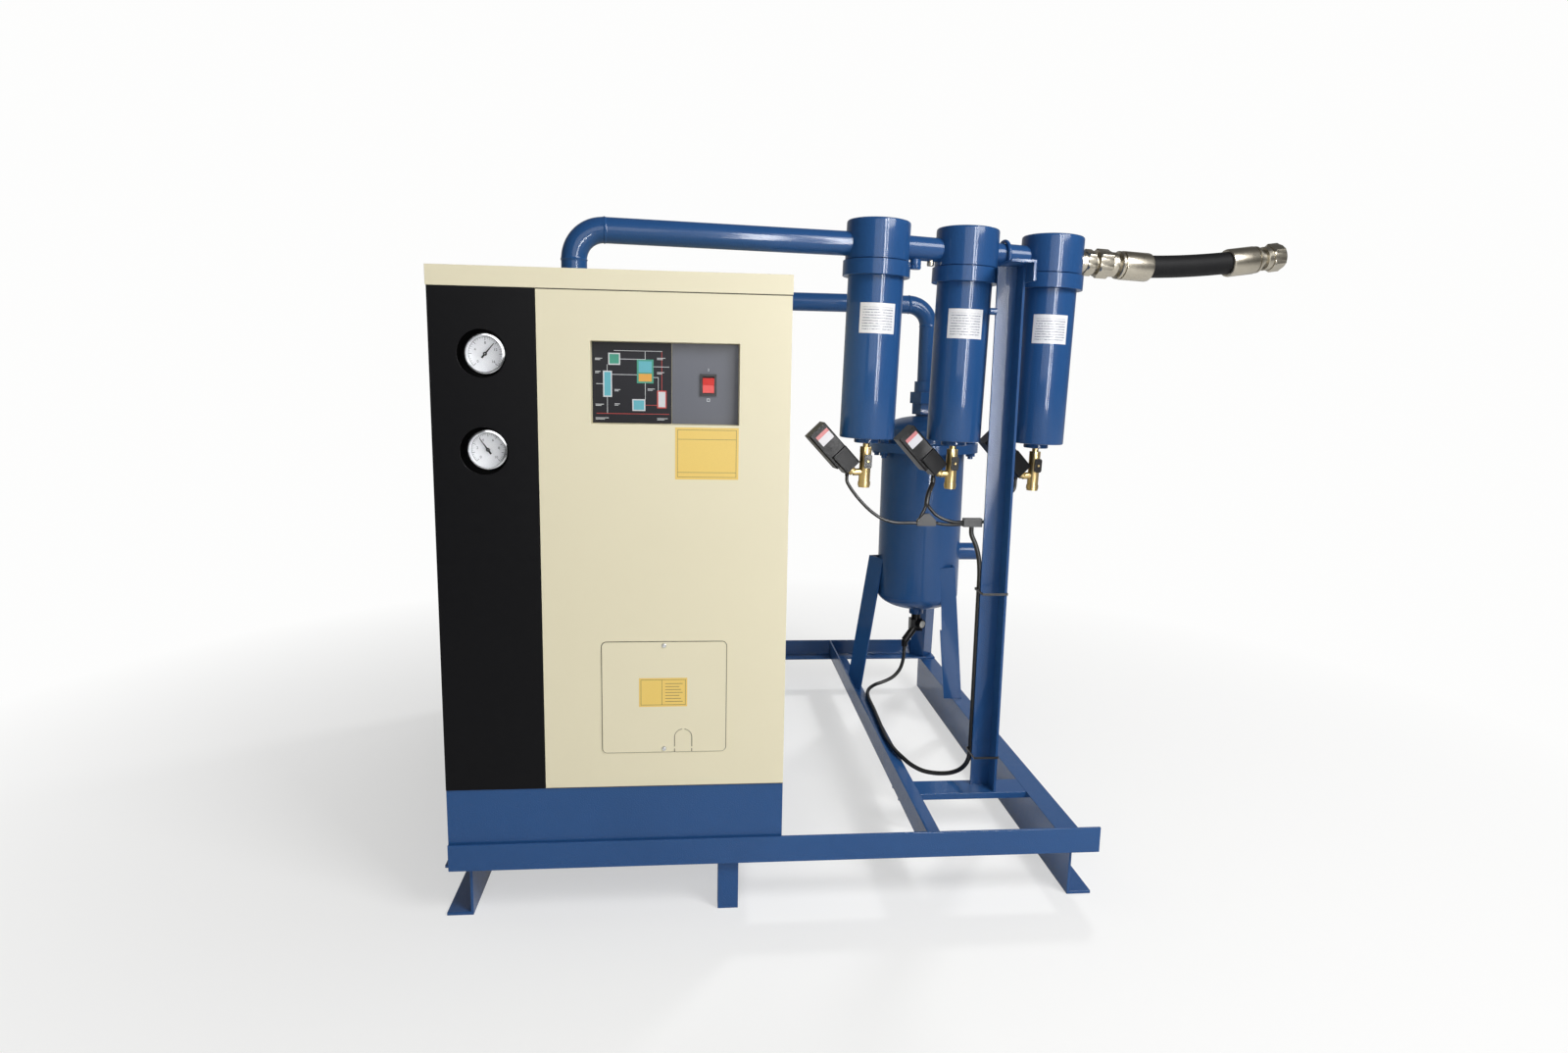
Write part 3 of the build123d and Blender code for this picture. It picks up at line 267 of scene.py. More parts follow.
# Hose fittings: steel with a dull nickel plating. An adapter is screwed into the last filter,
# a swivel nut joins it to the hose end, and a smooth ferrule with one groove is pressed on the hose.
plated = Finish("nickel_plating", (0.50, 0.46, 0.38), 0.30, 1.0)
plated.feed("Base Color", plated.between(plated.noise(22, 3), (0.55, 0.51, 0.43, 1), (0.44, 0.40, 0.32, 1)))
plated.feed("Roughness", plated.noise(90, 3) * 0.10 + 0.24)
plated.relief(plated.noise(700, 2, (0.15, 1, 1)), 0.00002)
outlet_x = 2 * 196.0 + 65.0


def nut(x0, x1, across):
    """Hexagon nut: chamfered ends where the corners are turned down to the flats' width."""
    flat, peak = across / 2, across / 2 / cos(pi / 6)
    return [(x0, flat * 0.90), (x0, flat, flat), (x0 + 2.6, flat, peak - 0.4), (x1 - 2.6, flat, peak - 0.4),
            (x1, flat, flat), (x1, flat * 0.90)]


def ferrule(x0, x1, r):
    """Pressed sleeve: a turned lip with one groove, a plain body, and a rounded mouth round the hose."""
    return [(x0, r * 0.72), (x0, r - 3.0), (x0 + 1.5, r - 1.0), (x0 + 7, r - 0.8), (x0 + 7.4, r - 3.0),
            (x0 + 9.6, r - 3.0), (x0 + 10, r - 0.4), (x0 + 12, r), (x1 - 5.0, r), (x1 - 1.5, r - 0.8),
            (x1, r - 2.6), (x1, 24.2), (x0 + 12, 24.1)]


near_end = turned([(outlet_x - 6, 19.8)] + nut(outlet_x + 10, outlet_x + 30, 50) + [
    (outlet_x + 30, 20), (outlet_x + 37, 20)] + nut(outlet_x + 38, outlet_x + 70, 55) + [
    (outlet_x + 70, 25.6), (outlet_x + 71, 26), (outlet_x + 83, 26), (outlet_x + 84, 25.2),
    (outlet_x + 84, 20), (548, 20)] + ferrule(548, 625, 30.5))
grip = 65.0
far_end = turned([(x, r) for x, r, *_ in [(12 - s[0] + 548, s[1]) for s in ferrule(548, 625, 30.5)]][::-1] + [
    (12, 20), (28, 20), (28, 25.2), (29, 26), (41, 26), (42, 25.2)] + nut(42, 72, 55) + [
    (72, 14.2), (70, 12.2), (34, 12.1)])
lift = np.array([[cos(hose_rise), 0, -sin(hose_rise)], [0, 1, 0], [sin(hose_rise), 0, cos(hose_rise)]])
far_points = on_chain(far_end[0] @ lift.T + hose_far)
hose_ends = make("hose_ends", joined((on_chain(near_end[0]), near_end[1]), (far_points, far_end[1])), plated,
                 stands_for=["hose_fittings"], sharp=24)

# Skid: channel and angle steel, welded and sprayed in one coat of blue gloss paint that has
# dried with a slight orange peel. Edges of rolled steel are rounded by about a millimetre.
blue = grain("blue_paint", (0.019, 0.079, 0.230), 0.34, spread=0.05, patch=5.0, peel=0.00055, peel_scale=420.0,
             Coat_Weight=0.50, Coat_Roughness=0.11, Specular_IOR_Level=0.08)


def dressed(node, finish, edge=1.0, body="dryer", sharp=32.0):
    """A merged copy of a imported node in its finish, with its sharp edges rounded by edge mm."""
    shape = bmesh.new()
    shape.from_mesh(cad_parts[node].data)
    bmesh.ops.remove_doubles(shape, verts=shape.verts, dist=1e-5)
    bmesh.ops.dissolve_degenerate(shape, edges=shape.edges, dist=1e-6)
    bmesh.ops.dissolve_limit(shape, angle_limit=radians(0.5), verts=shape.verts, edges=shape.edges)
    mesh = bpy.data.meshes.new(node + "_skin")
    shape.to_mesh(mesh)
    shape.free()
    mesh.materials.clear()
    mesh.materials.append(finish.material)
    mesh.shade_smooth()
    mesh.set_sharp_from_angle(angle=radians(sharp))
    made = bpy.data.objects.new(node + "_skin", mesh)
    bpy.context.scene.collection.objects.link(made)
    if edge:
        rounded = made.modifiers.new("rounded", "BEVEL")
        rounded.width, rounded.segments, rounded.limit_method = edge / 1000, 2, "ANGLE"
        rounded.angle_limit, rounded.harden_normals = radians(50), True
    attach(made, body)
    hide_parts(node)
    return made


for bar_name in ("left_runner", "right_runner", "front_rail", "rear_rail", "middle_rail", "cross_member",
                 "center_legs", "base_plinth", "separator_legs", "post"):
    dressed(bar_name, blue, 0.9)

# Cabinet: folded sheet steel with a cream powder coat, a loose lid on top and louvred sides.
# Corners are folded with about a millimetre of radius, and seams stay dark.
cream = grain("cream_powder_coat", (0.775, 0.715, 0.515), 0.42, spread=0.012, patch=3.0, peel=0.00004,
              peel_scale=900.0, worn=0.05, Specular_IOR_Level=0.4)
for sheet_name in ("left_side_panel", "right_side_panel", "rear_panel", "top_cover", "front_panel"):
    dressed(sheet_name, cream, 0.6)
access = dressed("access_cover", cream, 0.35)
zinc = grain("zinc_plate", (0.62, 0.63, 0.64), 0.30, 1.0, spread=0.05, patch=60, worn=0.12)
dressed("access_screws", zinc, 0.2)
dark = grain("black_powder_coat", (0.0035, 0.0035, 0.0045), 0.42, spread=0.08, patch=4.0, peel=0.00004,
             peel_scale=900.0, Specular_IOR_Level=0.12)
dressed("black_fascia", dark, 0.6)

# Control tray: a dark printed plate with a flow scheme of its own layout, and a grey plate
# with the mains switch. Lines and blocks of the scheme are printed flat on the plate.
smoked = grain("display_lacquer", (0.011, 0.011, 0.0155), 0.34, spread=0.06, patch=20, worn=0.04,
               Specular_IOR_Level=0.25)
dressed("display_plate", smoked, 0.2)
slate = grain("grey_lacquer", (0.105, 0.112, 0.138), 0.40, spread=0.03, patch=14, peel=0.00003, peel_scale=900)
dressed("switch_plate", slate, 0.2)
moulded = grain("black_moulding", (0.014, 0.014, 0.015), 0.36, spread=0.10, patch=40, peel=0.00005, peel_scale=1200)
dressed("switch_housing", moulded, 0.5)
# The rocker's faint red emission is a painted glow that lifts its red; there is no lamp in it.
painted_glow_rocker = Finish("red_rocker", (0.62, 0.018, 0.012), 0.22, Coat_Weight=0.4, Emission_Color=(0.8, 0.03, 0.02, 1),
                Emission_Strength=0.15)
painted_glow_rocker.relief(painted_glow_rocker.noise(500, 2), 0.00003)
dressed("switch_rocker", painted_glow_rocker, 0.35, body="power_rocker")


def printed(name, marks, y, colours, body="dryer", roughness=0.5):
    """Flat printed rectangles at a given y, each a touch nearer than the one before: x0, x1, z0, z1 and colour."""
    table = np.array([m[:4] for m in marks], float)
    x, z = table[:, [0, 1, 1, 0]], table[:, [2, 2, 3, 3]]
    layer = y - 0.003 * np.arange(len(table))[:, None]
    points = np.stack([x, np.repeat(layer, 4, 1), z], -1).reshape(-1, 3)
    faces = np.arange(len(points)).reshape(-1, 4)
    mesh = bpy.data.meshes.new(name)
    mesh.from_pydata((points - to_row) / 1000, [], faces.tolist())
    for number, tone in enumerate(colours):
        ink = Finish(f"{name}_ink_{number}", tone, roughness)
        ink.feed("Base Color", ink.between(ink.noise(900, 2), tuple(c * 0.9 for c in tone) + (1,), (*tone, 1)))
        mesh.materials.append(ink.material)
    mesh.polygons.foreach_set("material_index", np.array([m[4] for m in marks], np.int32))
    made = bpy.data.objects.new(name, mesh)
    bpy.context.scene.collection.objects.link(made)
    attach(made, body)
    return made


white, green, red_ink, amber, teal = (0.62, 0.64, 0.66), (0.03, 0.30, 0.20), (0.55, 0.04, 0.03), (0.75, 0.36, 0.04), (
    0.10, 0.42, 0.50)
scheme = []
for x0, x1, z0, z1, tone in (
        (281, 296, 948, 992, 0), (283, 294, 950, 990, 4), (338, 366, 972, 1012, 1), (341, 363, 990, 1009, 4),
        (341, 363, 975, 988, 3), (290, 310, 1002, 1022, 0), (292, 308, 1004, 1020, 1), (330, 352, 925, 945, 0),
        (332, 350, 927, 943, 4), (372, 388, 930, 960, 2), (374, 386, 932, 958, 0)):
    scheme.append((x0, x1, z0, z1, tone))
for x0, z0, x1, z1, tone in (
        (296, 986, 338, 986, 0), (310, 1012, 352, 1012, 0), (352, 1012, 352, 1026, 0), (288, 992, 288, 1002, 0),
        (352, 972, 352, 945, 0), (352, 935, 372, 935, 2), (380, 960, 380, 1026, 2), (300, 1026, 380, 1026, 0),
        (270, 970, 281, 970, 0), (366, 1000, 392, 1000, 0), (288, 948, 288, 920, 0), (270, 920, 330, 920, 2),
        (330, 920, 392, 920, 2), (366, 982, 374, 982, 0), (374, 982, 374, 960, 0)):
    scheme.append((min(x0, x1) - 0.45, max(x0, x1) + 0.45, min(z0, z1) - 0.45, max(z0, z1) + 0.45, tone))
for x, z, wide in ((268, 1012, 12), (268, 990, 9), (372, 1014, 14), (372, 990, 12), (356, 962, 12), (300, 960, 10),
                   (268, 935, 14), (268, 912, 22), (372, 912, 18), (300, 936, 9)):
    scheme += [(x, x + wide, z, z + 1.1, 0), (x, x + wide * 0.7, z - 2.2, z - 1.1, 0)]
printed("flow_scheme", scheme, 18.8 - 0.12, (white, green, red_ink, amber, teal))
printed("switch_marks", [(459.0, 459.9, 994, 999, 0), (456.8, 462.0, 942.6, 943.5, 0), (456.8, 462.0, 947.2, 948.1, 0),
                         (456.8, 457.7, 942.6, 948.1, 0), (461.1, 462.0, 942.6, 948.1, 0)], 18.8 - 0.12, (white,))

# Two yellow stickers, left as plain fields with a thin rule: one under the tray, one on the
# access cover. They are printed vinyl, a tenth of a millimetre thick.
yellow, rule = (0.86, 0.61, 0.15), (0.14, 0.11, 0.05)
for name, (x0, x1, z0, z1), y in (("large_sticker", (403, 511.6, 810, 899), -0.15),
                                  ("small_sticker", (340, 425, 403, 456), -2.15)):
    edge_in = (x1 - x0) * 0.035
    marks = [(x0, x1, z0, z1, 0)]
    printed(name, marks, y, (yellow,), roughness=0.35)
    a0, a1, b0, b1 = x0 + edge_in, x1 - edge_in, z0 + edge_in, z1 - edge_in
    lines = [(a0, a1, b0, b0 + 0.7, 0), (a0, a1, b1 - 0.7, b1, 0), (a0, a0 + 0.7, b0, b1, 0), (a1 - 0.7, a1, b0, b1, 0)]
    if name == "large_sticker":
        lines.append((a0, a1, b1 - 16.7, b1 - 16, 0))
        lines.append((a0, a1, b0 + 8, b0 + 8.7, 0))
    else:
        lines.append((x0 + 40, x0 + 40.7, b0, b1, 0))
        lines += [(x0 + 46, a1 - 5 - 3 * (k % 3), b0 + 6 + 5.5 * k, b0 + 6.9 + 5.5 * k, 0) for k in range(7)]
    printed(name + "_rules", lines, y - 0.05, (rule,))

# Seams: the gap round the access cover, its knock-out, and the joints below the lid and above
# the plinth are drawn as thin dark strips of painted shade, since no light comes out of them.
gap_dark = grain("seam_shadow", (0.040, 0.035, 0.026), 0.9, spread=0.2, patch=30)


def ribbon(name, inner, outer, y, closed=False):
    """A flat strip on a plane of constant y between two outlines of x and z with as many points."""
    flat = np.concatenate([inner, outer])
    points = np.stack([flat[:, 0], np.full(len(flat), y), flat[:, 1]], -1)
    many = len(inner)
    quads = [(k, (k + 1) % many, many + (k + 1) % many, many + k) for k in range(many if closed else many - 1)]
    return make(name, (points, quads), gap_dark)


def frame_line(grow):
    """Outline of the access cover, grown by a margin, with its rounded corners."""
    low_x, high_x, low_z, high_z, corner_r = 275.5, 494.0, 318.0, 521.5, 8.0
    centres = ((high_x - corner_r, high_z - corner_r), (low_x + corner_r, high_z - corner_r),
               (low_x + corner_r, low_z + corner_r), (high_x - corner_r, low_z + corner_r))
    bends = np.linspace(0, pi / 2, 9)
    return np.concatenate([np.stack([x + (corner_r + grow) * np.cos(bends + k * pi / 2),
                                     z + (corner_r + grow) * np.sin(bends + k * pi / 2)], -1)
                           for k, (x, z) in enumerate(centres)])


def arch_line(half):
    """Outline of the knock-out in the cover, open at the bottom."""
    over = np.linspace(0, pi, 25)
    return np.concatenate([[(418 + half, 318.5)], np.stack([418 + half * np.cos(over), 345 + half * np.sin(over)], -1),
                           [(418 - half, 318.5)]])


ribbon("cover_seam", frame_line(-0.5), frame_line(1.3), -0.06, closed=True)
ribbon("knock_out_seam", arch_line(14.0), arch_line(17.0), -0.06)
for name, x0, x1, z0, z1 in (("lid_seam", 174.5, 600, 1122.4, 1124), ("plinth_seam", 174.5, 600, 252, 253.3)):
    ribbon(name, np.array([(x0, z0), (x1, z0)]), np.array([(x0, z1), (x1, z1)]), -0.06)

# Gauges: polished steel cup with a rolled bezel, a white printed dial and a flat glass. The
# dials carry plain ticks and numbers over three quarters of a turn, and a black pointer each.
chrome = Finish("polished_steel", (0.72, 0.73, 0.75), 0.12, 1.0)
chrome.feed("Roughness", chrome.noise(180, 3) * 0.12 + 0.06)
glass = Finish("gauge_glass", (1.0, 1.0, 1.0), 0.03, Transmission_Weight=1.0, IOR=1.1)
glass.feed("Roughness", glass.noise(30, 2) * 0.02 + 0.01)
face_white = grain("dial_enamel", (0.90, 0.91, 0.94), 0.5, spread=0.01, patch=80, worn=0.03)
ink = grain("dial_ink", (0.012, 0.012, 0.014), 0.5, spread=0.1, patch=300)
gauge_x, dial_y = 84.6, 33.0


def sector(angle, r0, r1, wide):
    """A tick on the dial: a thin bar from r0 to r1 at an angle that counts clockwise from the top."""
    out, side = np.array([sin(angle), cos(angle)]), np.array([cos(angle), -sin(angle)])
    return [out * r0 - side * wide / 2, out * r1 - side * wide / 2, out * r1 + side * wide / 2, out * r0 + side * wide / 2]


def number(name, text, x, z, y, size, body="dryer"):
    """A printed number, set upright and centred on x and z, as a flat mesh."""
    letters = bpy.data.curves.new(name, "FONT")
    letters.body, letters.size, letters.align_x, letters.align_y = text, size / 1000, "CENTER", "CENTER"
    shape = bpy.data.objects.new(name + "_text", letters)
    bpy.context.scene.collection.objects.link(shape)
    bpy.context.view_layer.update()
    mesh = bpy.data.meshes.new_from_object(shape)
    bpy.data.objects.remove(shape)
    flat = np.zeros(len(mesh.vertices) * 3)
    mesh.vertices.foreach_get("co", flat)
    flat = flat.reshape(-1, 3)
    row = (np.array([x, y, z]) - to_row) / 1000
    mesh.vertices.foreach_set("co", np.stack([flat[:, 0] + row[0], np.full(len(flat), row[1]), flat[:, 1] + row[2]],
                                             -1).ravel())
    mesh.materials.clear()
    mesh.materials.append(ink.material)
    made = bpy.data.objects.new(name, mesh)
    bpy.context.scene.collection.objects.link(made)
    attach(made, body)
    return made


for which, gauge_z, steps, labels in (("upper", 1016.0, 30, ("0", "4", "8", "12", "16")),
                                      ("lower", 854.6, 40, ("0", "2", "4", "6", "8", "10"))):
    turn, place = facing((0, 1, 0), (gauge_x, 0, gauge_z))
    cup = turned([(20.0, 30.5), (20.0, 31.2), (20.6, 34.2), (21.6, 34.9), (23, 35), (40, 35), (40, 29), (56, 29),
                  (56, 7), (70, 7), (70, 0)], 96)
    lip = turned([(20.0, 30.5), (20.6, 30.1), (21.8, 30.2), (22.0, 31.0), (24.0, 31.6), (dial_y, 31.9)], 96)
    make(which + "_gauge_cup", joined(moved(cup, turn, place), moved(lip, turn, place)), chrome,
         stands_for=[f"{which}_gauge_case"], sharp=40)
    plate = turned([(dial_y - 0.3, 31.8), (dial_y - 0.3, 20), (dial_y - 0.3, 0.9), (30.2, 0.9), (29.4, 0.5), (29.4, 0)], 96)
    make(which + "_dial", moved(plate, turn, place), face_white)
    pane = turned([(22.2, 0), (22.2, 31.5), (23.2, 31.5), (23.2, 0)], 96)
    make(which + "_glass", moved(pane, turn, place), glass)
    quads = []
    for step in range(steps + 1):
        angle = radians(-135 + 270 * step / steps)
        major = step % 5 == 0
        quads += sector(angle, 22.5 if major else 24.5, 27.6, 0.75 if major else 0.35)
    arc = np.radians(np.linspace(-135, 135, 91))
    inner, outer = np.stack([np.sin(arc), np.cos(arc)], 1) * 27.6, np.stack([np.sin(arc), np.cos(arc)], 1) * 28.1
    band = np.stack([inner[:-1], outer[:-1], outer[1:], inner[1:]], 1).reshape(-1, 2)
    flat = np.concatenate([np.array(quads), band])
    ticks = np.stack([flat[:, 0] + gauge_x, np.full(len(flat), dial_y - 0.45), flat[:, 1] + gauge_z], 1)
    scale = make(which + "_scale", (ticks, np.arange(len(ticks)).reshape(-1, 4)), ink)
    for index, text in enumerate(labels):
        angle = radians(-135 + 270 * index / (len(labels) - 1))
        number(f"{which}_number_{index}", text, gauge_x + 18.2 * sin(angle), gauge_z + 18.2 * cos(angle),
               dial_y - 0.45, 6.2)
    dressed(f"{which}_gauge_pointer", ink, 0.1, body=f"{which}_pointer")

# Pipes: black steel tube of one size, bent or welded at the elbows and painted blue with the
# rest. Each weld stands up as a ring of overlapping beads, about 1.5 mm high.
pipe_r = 24.15


def pipe_run(corners, radius, beads, r=pipe_r, wall=3.6, around=64):
    """A circle carried along straight runs and round arcs. Its radius is r, plus a bell curve at each
    weld whose height ripples round the pipe: 1.5 exp(-(s / 1.7)^2) (0.8 + 0.2 sin(15 angle))."""
    corners = [np.array(c, float) for c in corners]
    places, aims, run, last = [], [], [], corners[0]
    total = 0.0
    for i in range(1, len(corners)):
        into = corners[i] - corners[i - 1]
        into /= np.linalg.norm(into)
        if i < len(corners) - 1:
            out = corners[i + 1] - corners[i]
            out /= np.linalg.norm(out)
            half = np.arccos(np.clip(into @ out, -1, 1)) / 2
            stop = corners[i] - into * radius * tan(half)
        else:
            stop = corners[i]
        span = np.linalg.norm(stop - last)
        s = np.linspace(0, span, max(2, int(span / 1.4)))
        places.append(last + s[:, None] * into)
        aims.append(np.repeat(into[None], len(s), 0))
        run.append(total + s)
        total += span
        if i < len(corners) - 1:
            inward = out - into * (into @ out)
            inward /= np.linalg.norm(inward)
            a = np.linspace(0, 2 * half, 42)[1:-1]
            places.append(stop + radius * (np.sin(a)[:, None] * into + (1 - np.cos(a))[:, None] * inward))
            aims.append(np.cos(a)[:, None] * into + np.sin(a)[:, None] * inward)
            run.append(total + radius * a)
            total += radius * 2 * half
            last = corners[i] + out * radius * tan(half)
    places, aims, run = np.concatenate(places), np.concatenate(aims), np.concatenate(run)
    normal = np.cross(corners[1] - corners[0], corners[2] - corners[1])
    normal = normal / np.linalg.norm(normal)
    across = np.cross(aims, normal)
    angle = np.arange(around) * 2 * pi / around
    swell = np.zeros((len(run), around))
    for weld in beads:
        swell += np.exp(-((run[:, None] - weld) / 1.7) ** 2) * (1.2 + 0.3 * np.sin(15 * angle + 2))
    ring = (r + swell)[..., None] * (np.cos(angle)[None, :, None] * normal + np.sin(angle)[None, :, None]
                                     * across[:, None, :])
    points = places[:, None, :] + ring
    row, col = np.meshgrid(np.arange(len(run) - 1), np.arange(around), indexing="ij")
    corner, over = row * around + col, row * around + (col + 1) % around
    quads = np.stack([corner, corner + around, over + around, over], -1).reshape(-1, 4)
    count = len(run) * around
    faces = quads.tolist() + [list(range(around)), list(range(count - around, count))]
    return points.reshape(-1, 3), faces


elbow = 57.0
drop_x, drop_y = 806.5 - 605 * cos(swing), 336 - 605 * sin(swing)
rise = 1256.0 - elbow - 905.0
outlet_run = pipe_run([(drop_x, drop_y, 905), (drop_x, drop_y, 1256), tuple(on_chain([(-46, 0, 0)], swung)[0])],
                      elbow, [rise, rise + elbow * pi / 2])
make("outlet_pipe_skin", outlet_run, blue, stands_for=["outlet_pipe"])
rise_in = 1188.0 - elbow - 905.0
flat_in = 674.0 - 2 * elbow
inlet_run = pipe_run([(400, 960, 905), (400, 960, 1188), (1074, 960, 1188), (1074, 960, 962)], elbow,
                     [rise_in + elbow * pi / 2, rise_in + elbow * pi / 2 + flat_in, rise_in + elbow * pi + flat_in])
make("inlet_pipe_skin", inlet_run, blue, stands_for=["inlet_pipe"])
links = [turned([(x0 - 2, 20), (x0, pipe_r), (x0 + 24, pipe_r), (x1 - 24, pipe_r), (x1, pipe_r), (x1 + 2, 20)], 64)
         for x0, x1 in ((46, 150), (242, 346))]
make("link_pipe_skin", joined(*[(on_chain(p), f) for p, f in links]), blue, stands_for=["link_pipes"])
down_turn, _ = facing((0, 0, -1))
stopper = moved(turned([(pipe_r - 2, 11.3), (pipe_r + 9, 11.5)] + nut(pipe_r + 9, pipe_r + 18, 21) + [(pipe_r + 18, 0)],
                       48), down_turn, (84, 0, 0))
screw = moved(turned([(pipe_r - 2, 7.4), (pipe_r + 2, 7.5)] + nut(pipe_r + 2, pipe_r + 9, 14) + [(pipe_r + 9, 0)],
                     48), down_turn, (117, 0, 0))
make("link_plug", (on_chain(stopper[0]), stopper[1]), blue)
make("link_screw", (on_chain(screw[0]), screw[1]), plated)

# Line filters: cast head and deep steel bowl with a screwed collar, blue gloss like the pipes.
# A white foil label with grey rules is wrapped round the front of each bowl.
foil = Finish("label_foil", (0.86, 0.86, 0.87), 0.34)
at_uv = foil.place("UV")
parts = foil.node("SeparateXYZ", {}, {0: at_uv}, "Y")
cross = foil.node("SeparateXYZ", {}, {0: at_uv}, "X")
rules = (abs(foil.node("Math", {"operation": "FRACT"}, {0: parts * 11.0}) - 0.5) < 0.17)
inside = (abs(cross - 0.5) < 0.42) * (abs(parts - 0.46) < 0.40)
words = foil.node("TexNoise", {}, {"Vector": foil.node("Mapping", {}, {"Vector": at_uv, "Scale": (16, 9, 1)}),
                                   "Scale": 2.2, "Detail": 1.0}) > 0.42
foil.feed("Base Color", foil.between(rules * inside * words, (0.80, 0.80, 0.82, 1), (0.24, 0.26, 0.33, 1)))


def label(centre_z, wide, high, r, towards):
    """A patch of the bowl's cylinder, r from its axis: angle across, height up, with its own UV."""
    a = towards + np.linspace(-0.5, 0.5, 25) * wide / r
    z = centre_z + np.linspace(-0.5, 0.5, 9) * high
    angle, height = np.meshgrid(a, z)
    points = np.stack([r * np.sin(angle), -r * np.cos(angle), height], -1).reshape(-1, 3)
    row, col = np.meshgrid(np.arange(8), np.arange(24), indexing="ij")
    corner = row * 25 + col
    quads = np.stack([corner, corner + 1, corner + 26, corner + 25], -1).reshape(-1, 4)
    u, v = np.meshgrid(np.linspace(0, 1, 25), np.linspace(0, 1, 9))
    return points, quads, np.stack([u, v], -1).reshape(-1, 2)


up_turn, _ = facing((0, 0, 1))
for count in (1, 2, 3):
    axis_at = np.array([(count - 1) * 196.0, 0, 0])
    head = turned([(-32.0, 40), (-32.0, 64.2), (-31.4, 65), (-10, 65), (41, 65), (43.6, 64.4), (45.4, 62.6),
                   (46, 60.4), (46, 30), (46, 0)], 128)
    points = moved(head, up_turn, axis_at)
    make(f"filter_{count}_head_skin", (on_chain(points[0]), points[1]), blue, stands_for=[f"filter_{count}_head"],
         sharp=30)
    bowl = turned([(-402, 0), (-402, 24.6), (-400.8, 26), (-392, 26), (-392, 54.2), (-391.1, 56.2), (-389, 57.15),
                   (-240, 57.15), (-90, 57.15), (-64, 57.15), (-64, 68.4), (-63.4, 69), (-48, 69), (-34.2, 69),
                   (-33.6, 68.4), (-33.6, 61), (-32.2, 61), (-32.2, 40)], 128)
    points = moved(bowl, up_turn, axis_at)
    make(f"filter_{count}_bowl_skin", (on_chain(points[0]), points[1]), blue, stands_for=[f"filter_{count}_bowl"],
         sharp=30)
    patch, quads, uv = label(-149, 76, 60, 57.15 + 0.25, (-0.17, -0.27, -0.32)[count - 1])
    sticker = make(f"filter_{count}_label", (on_chain(patch + axis_at), quads), foil)
    layer = sticker.data.uv_layers.new(name="UVMap")
    loops = np.zeros(len(sticker.data.loops), np.int32)
    sticker.data.loops.foreach_get("vertex_index", loops)
    layer.data.foreach_set("uv", uv[loops].ravel())

# Drain valves: brass bodies with a ball tap, whose black lever turns on a pin, and a solenoid
# with its timer box clipped on a slanting neck. The timer has a small red and white label.
brass = grain("brass_turned", (0.56, 0.42, 0.20), 0.34, 1.0, spread=0.10, patch=30, peel=0.00005, peel_scale=600,
              worn=0.14)
box_black = grain("timer_moulding", (0.005, 0.005, 0.006), 0.30, spread=0.15, patch=30, peel=0.00006, peel_scale=1500,
                  Specular_IOR_Level=0.18)
lever_black = grain("lever_sleeve", (0.010, 0.010, 0.011), 0.28, spread=0.1, patch=40)
slope = radians(45.0)
along = np.array([-cos(slope), 0, sin(slope)])
sideways = np.array([sin(slope), 0, cos(slope)])
coil_foot = np.array([-34.0, 0, -402 - 61 + 7.0])
for count in (1, 2, 3):
    axis_at = np.array([(count - 1) * 196.0, 0, 0])
    dressed(f"drain_{count}_valve", brass, 0.4, sharp=28)
    dressed(f"drain_{count}_timer", box_black, 0.8)
    dressed(f"drain_{count}_handle", lever_black, 0.5, body=f"drain_handle_{count}")
    origin = axis_at + coil_foot + np.array([0, -16.15, 0])
    for part, low, high, tone in (("red", 93, 101, (0.60, 0.16, 0.17)), ("white", 76, 93, (0.66, 0.65, 0.70))):
        corners = [origin + along * a + sideways * b for a, b in ((low, -14), (low, 17), (high, 17), (high, -14))]
        tag = Finish(f"timer_{part}_{count}", tone, 0.4)
        tag.feed("Base Color", tag.between(tag.noise(700, 2), tuple(c * 0.85 for c in tone) + (1,), (*tone, 1)))
        make(f"timer_{count}_{part}_label", (on_chain(np.array(corners)), [(0, 1, 2, 3)]), tag)

# Separator vessel: a welded steel bottle in two halves, bolted at a flange, with an inlet
# union on top, an outlet stub at the side and a drain with its plug below.
for name in ("separator_shell", "separator_lid", "pipe_union", "u_bolt", "flange_bolts"):
    dressed(name, blue, 0.6)
dressed("separator_drain", box_black, 0.6)
badge = grain("drain_badge", (0.70, 0.69, 0.64), 0.45, spread=0.06, patch=60)
cap_turn, cap_at = facing((6, -10, 0), (1088, 936, 296))
make("drain_badge", moved(turned([(0, 0), (0, 10.2), (0.5, 10.2), (0.8, 9.6), (0.8, 0)], 40), cap_turn, cap_at), badge)

# Cables: black rubber leads from the three solenoids to a junction on the post, and one trunk
# lead down the post, along the skid and up to the vessel's drain. They are tied to the post.
sheath = grain("cable_sheath", (0.008, 0.008, 0.009), 0.36, spread=0.12, patch=60, peel=0.0001, peel_scale=900)
dressed("valve_harness", sheath, 0)
dressed("trunk_cable", sheath, 0)

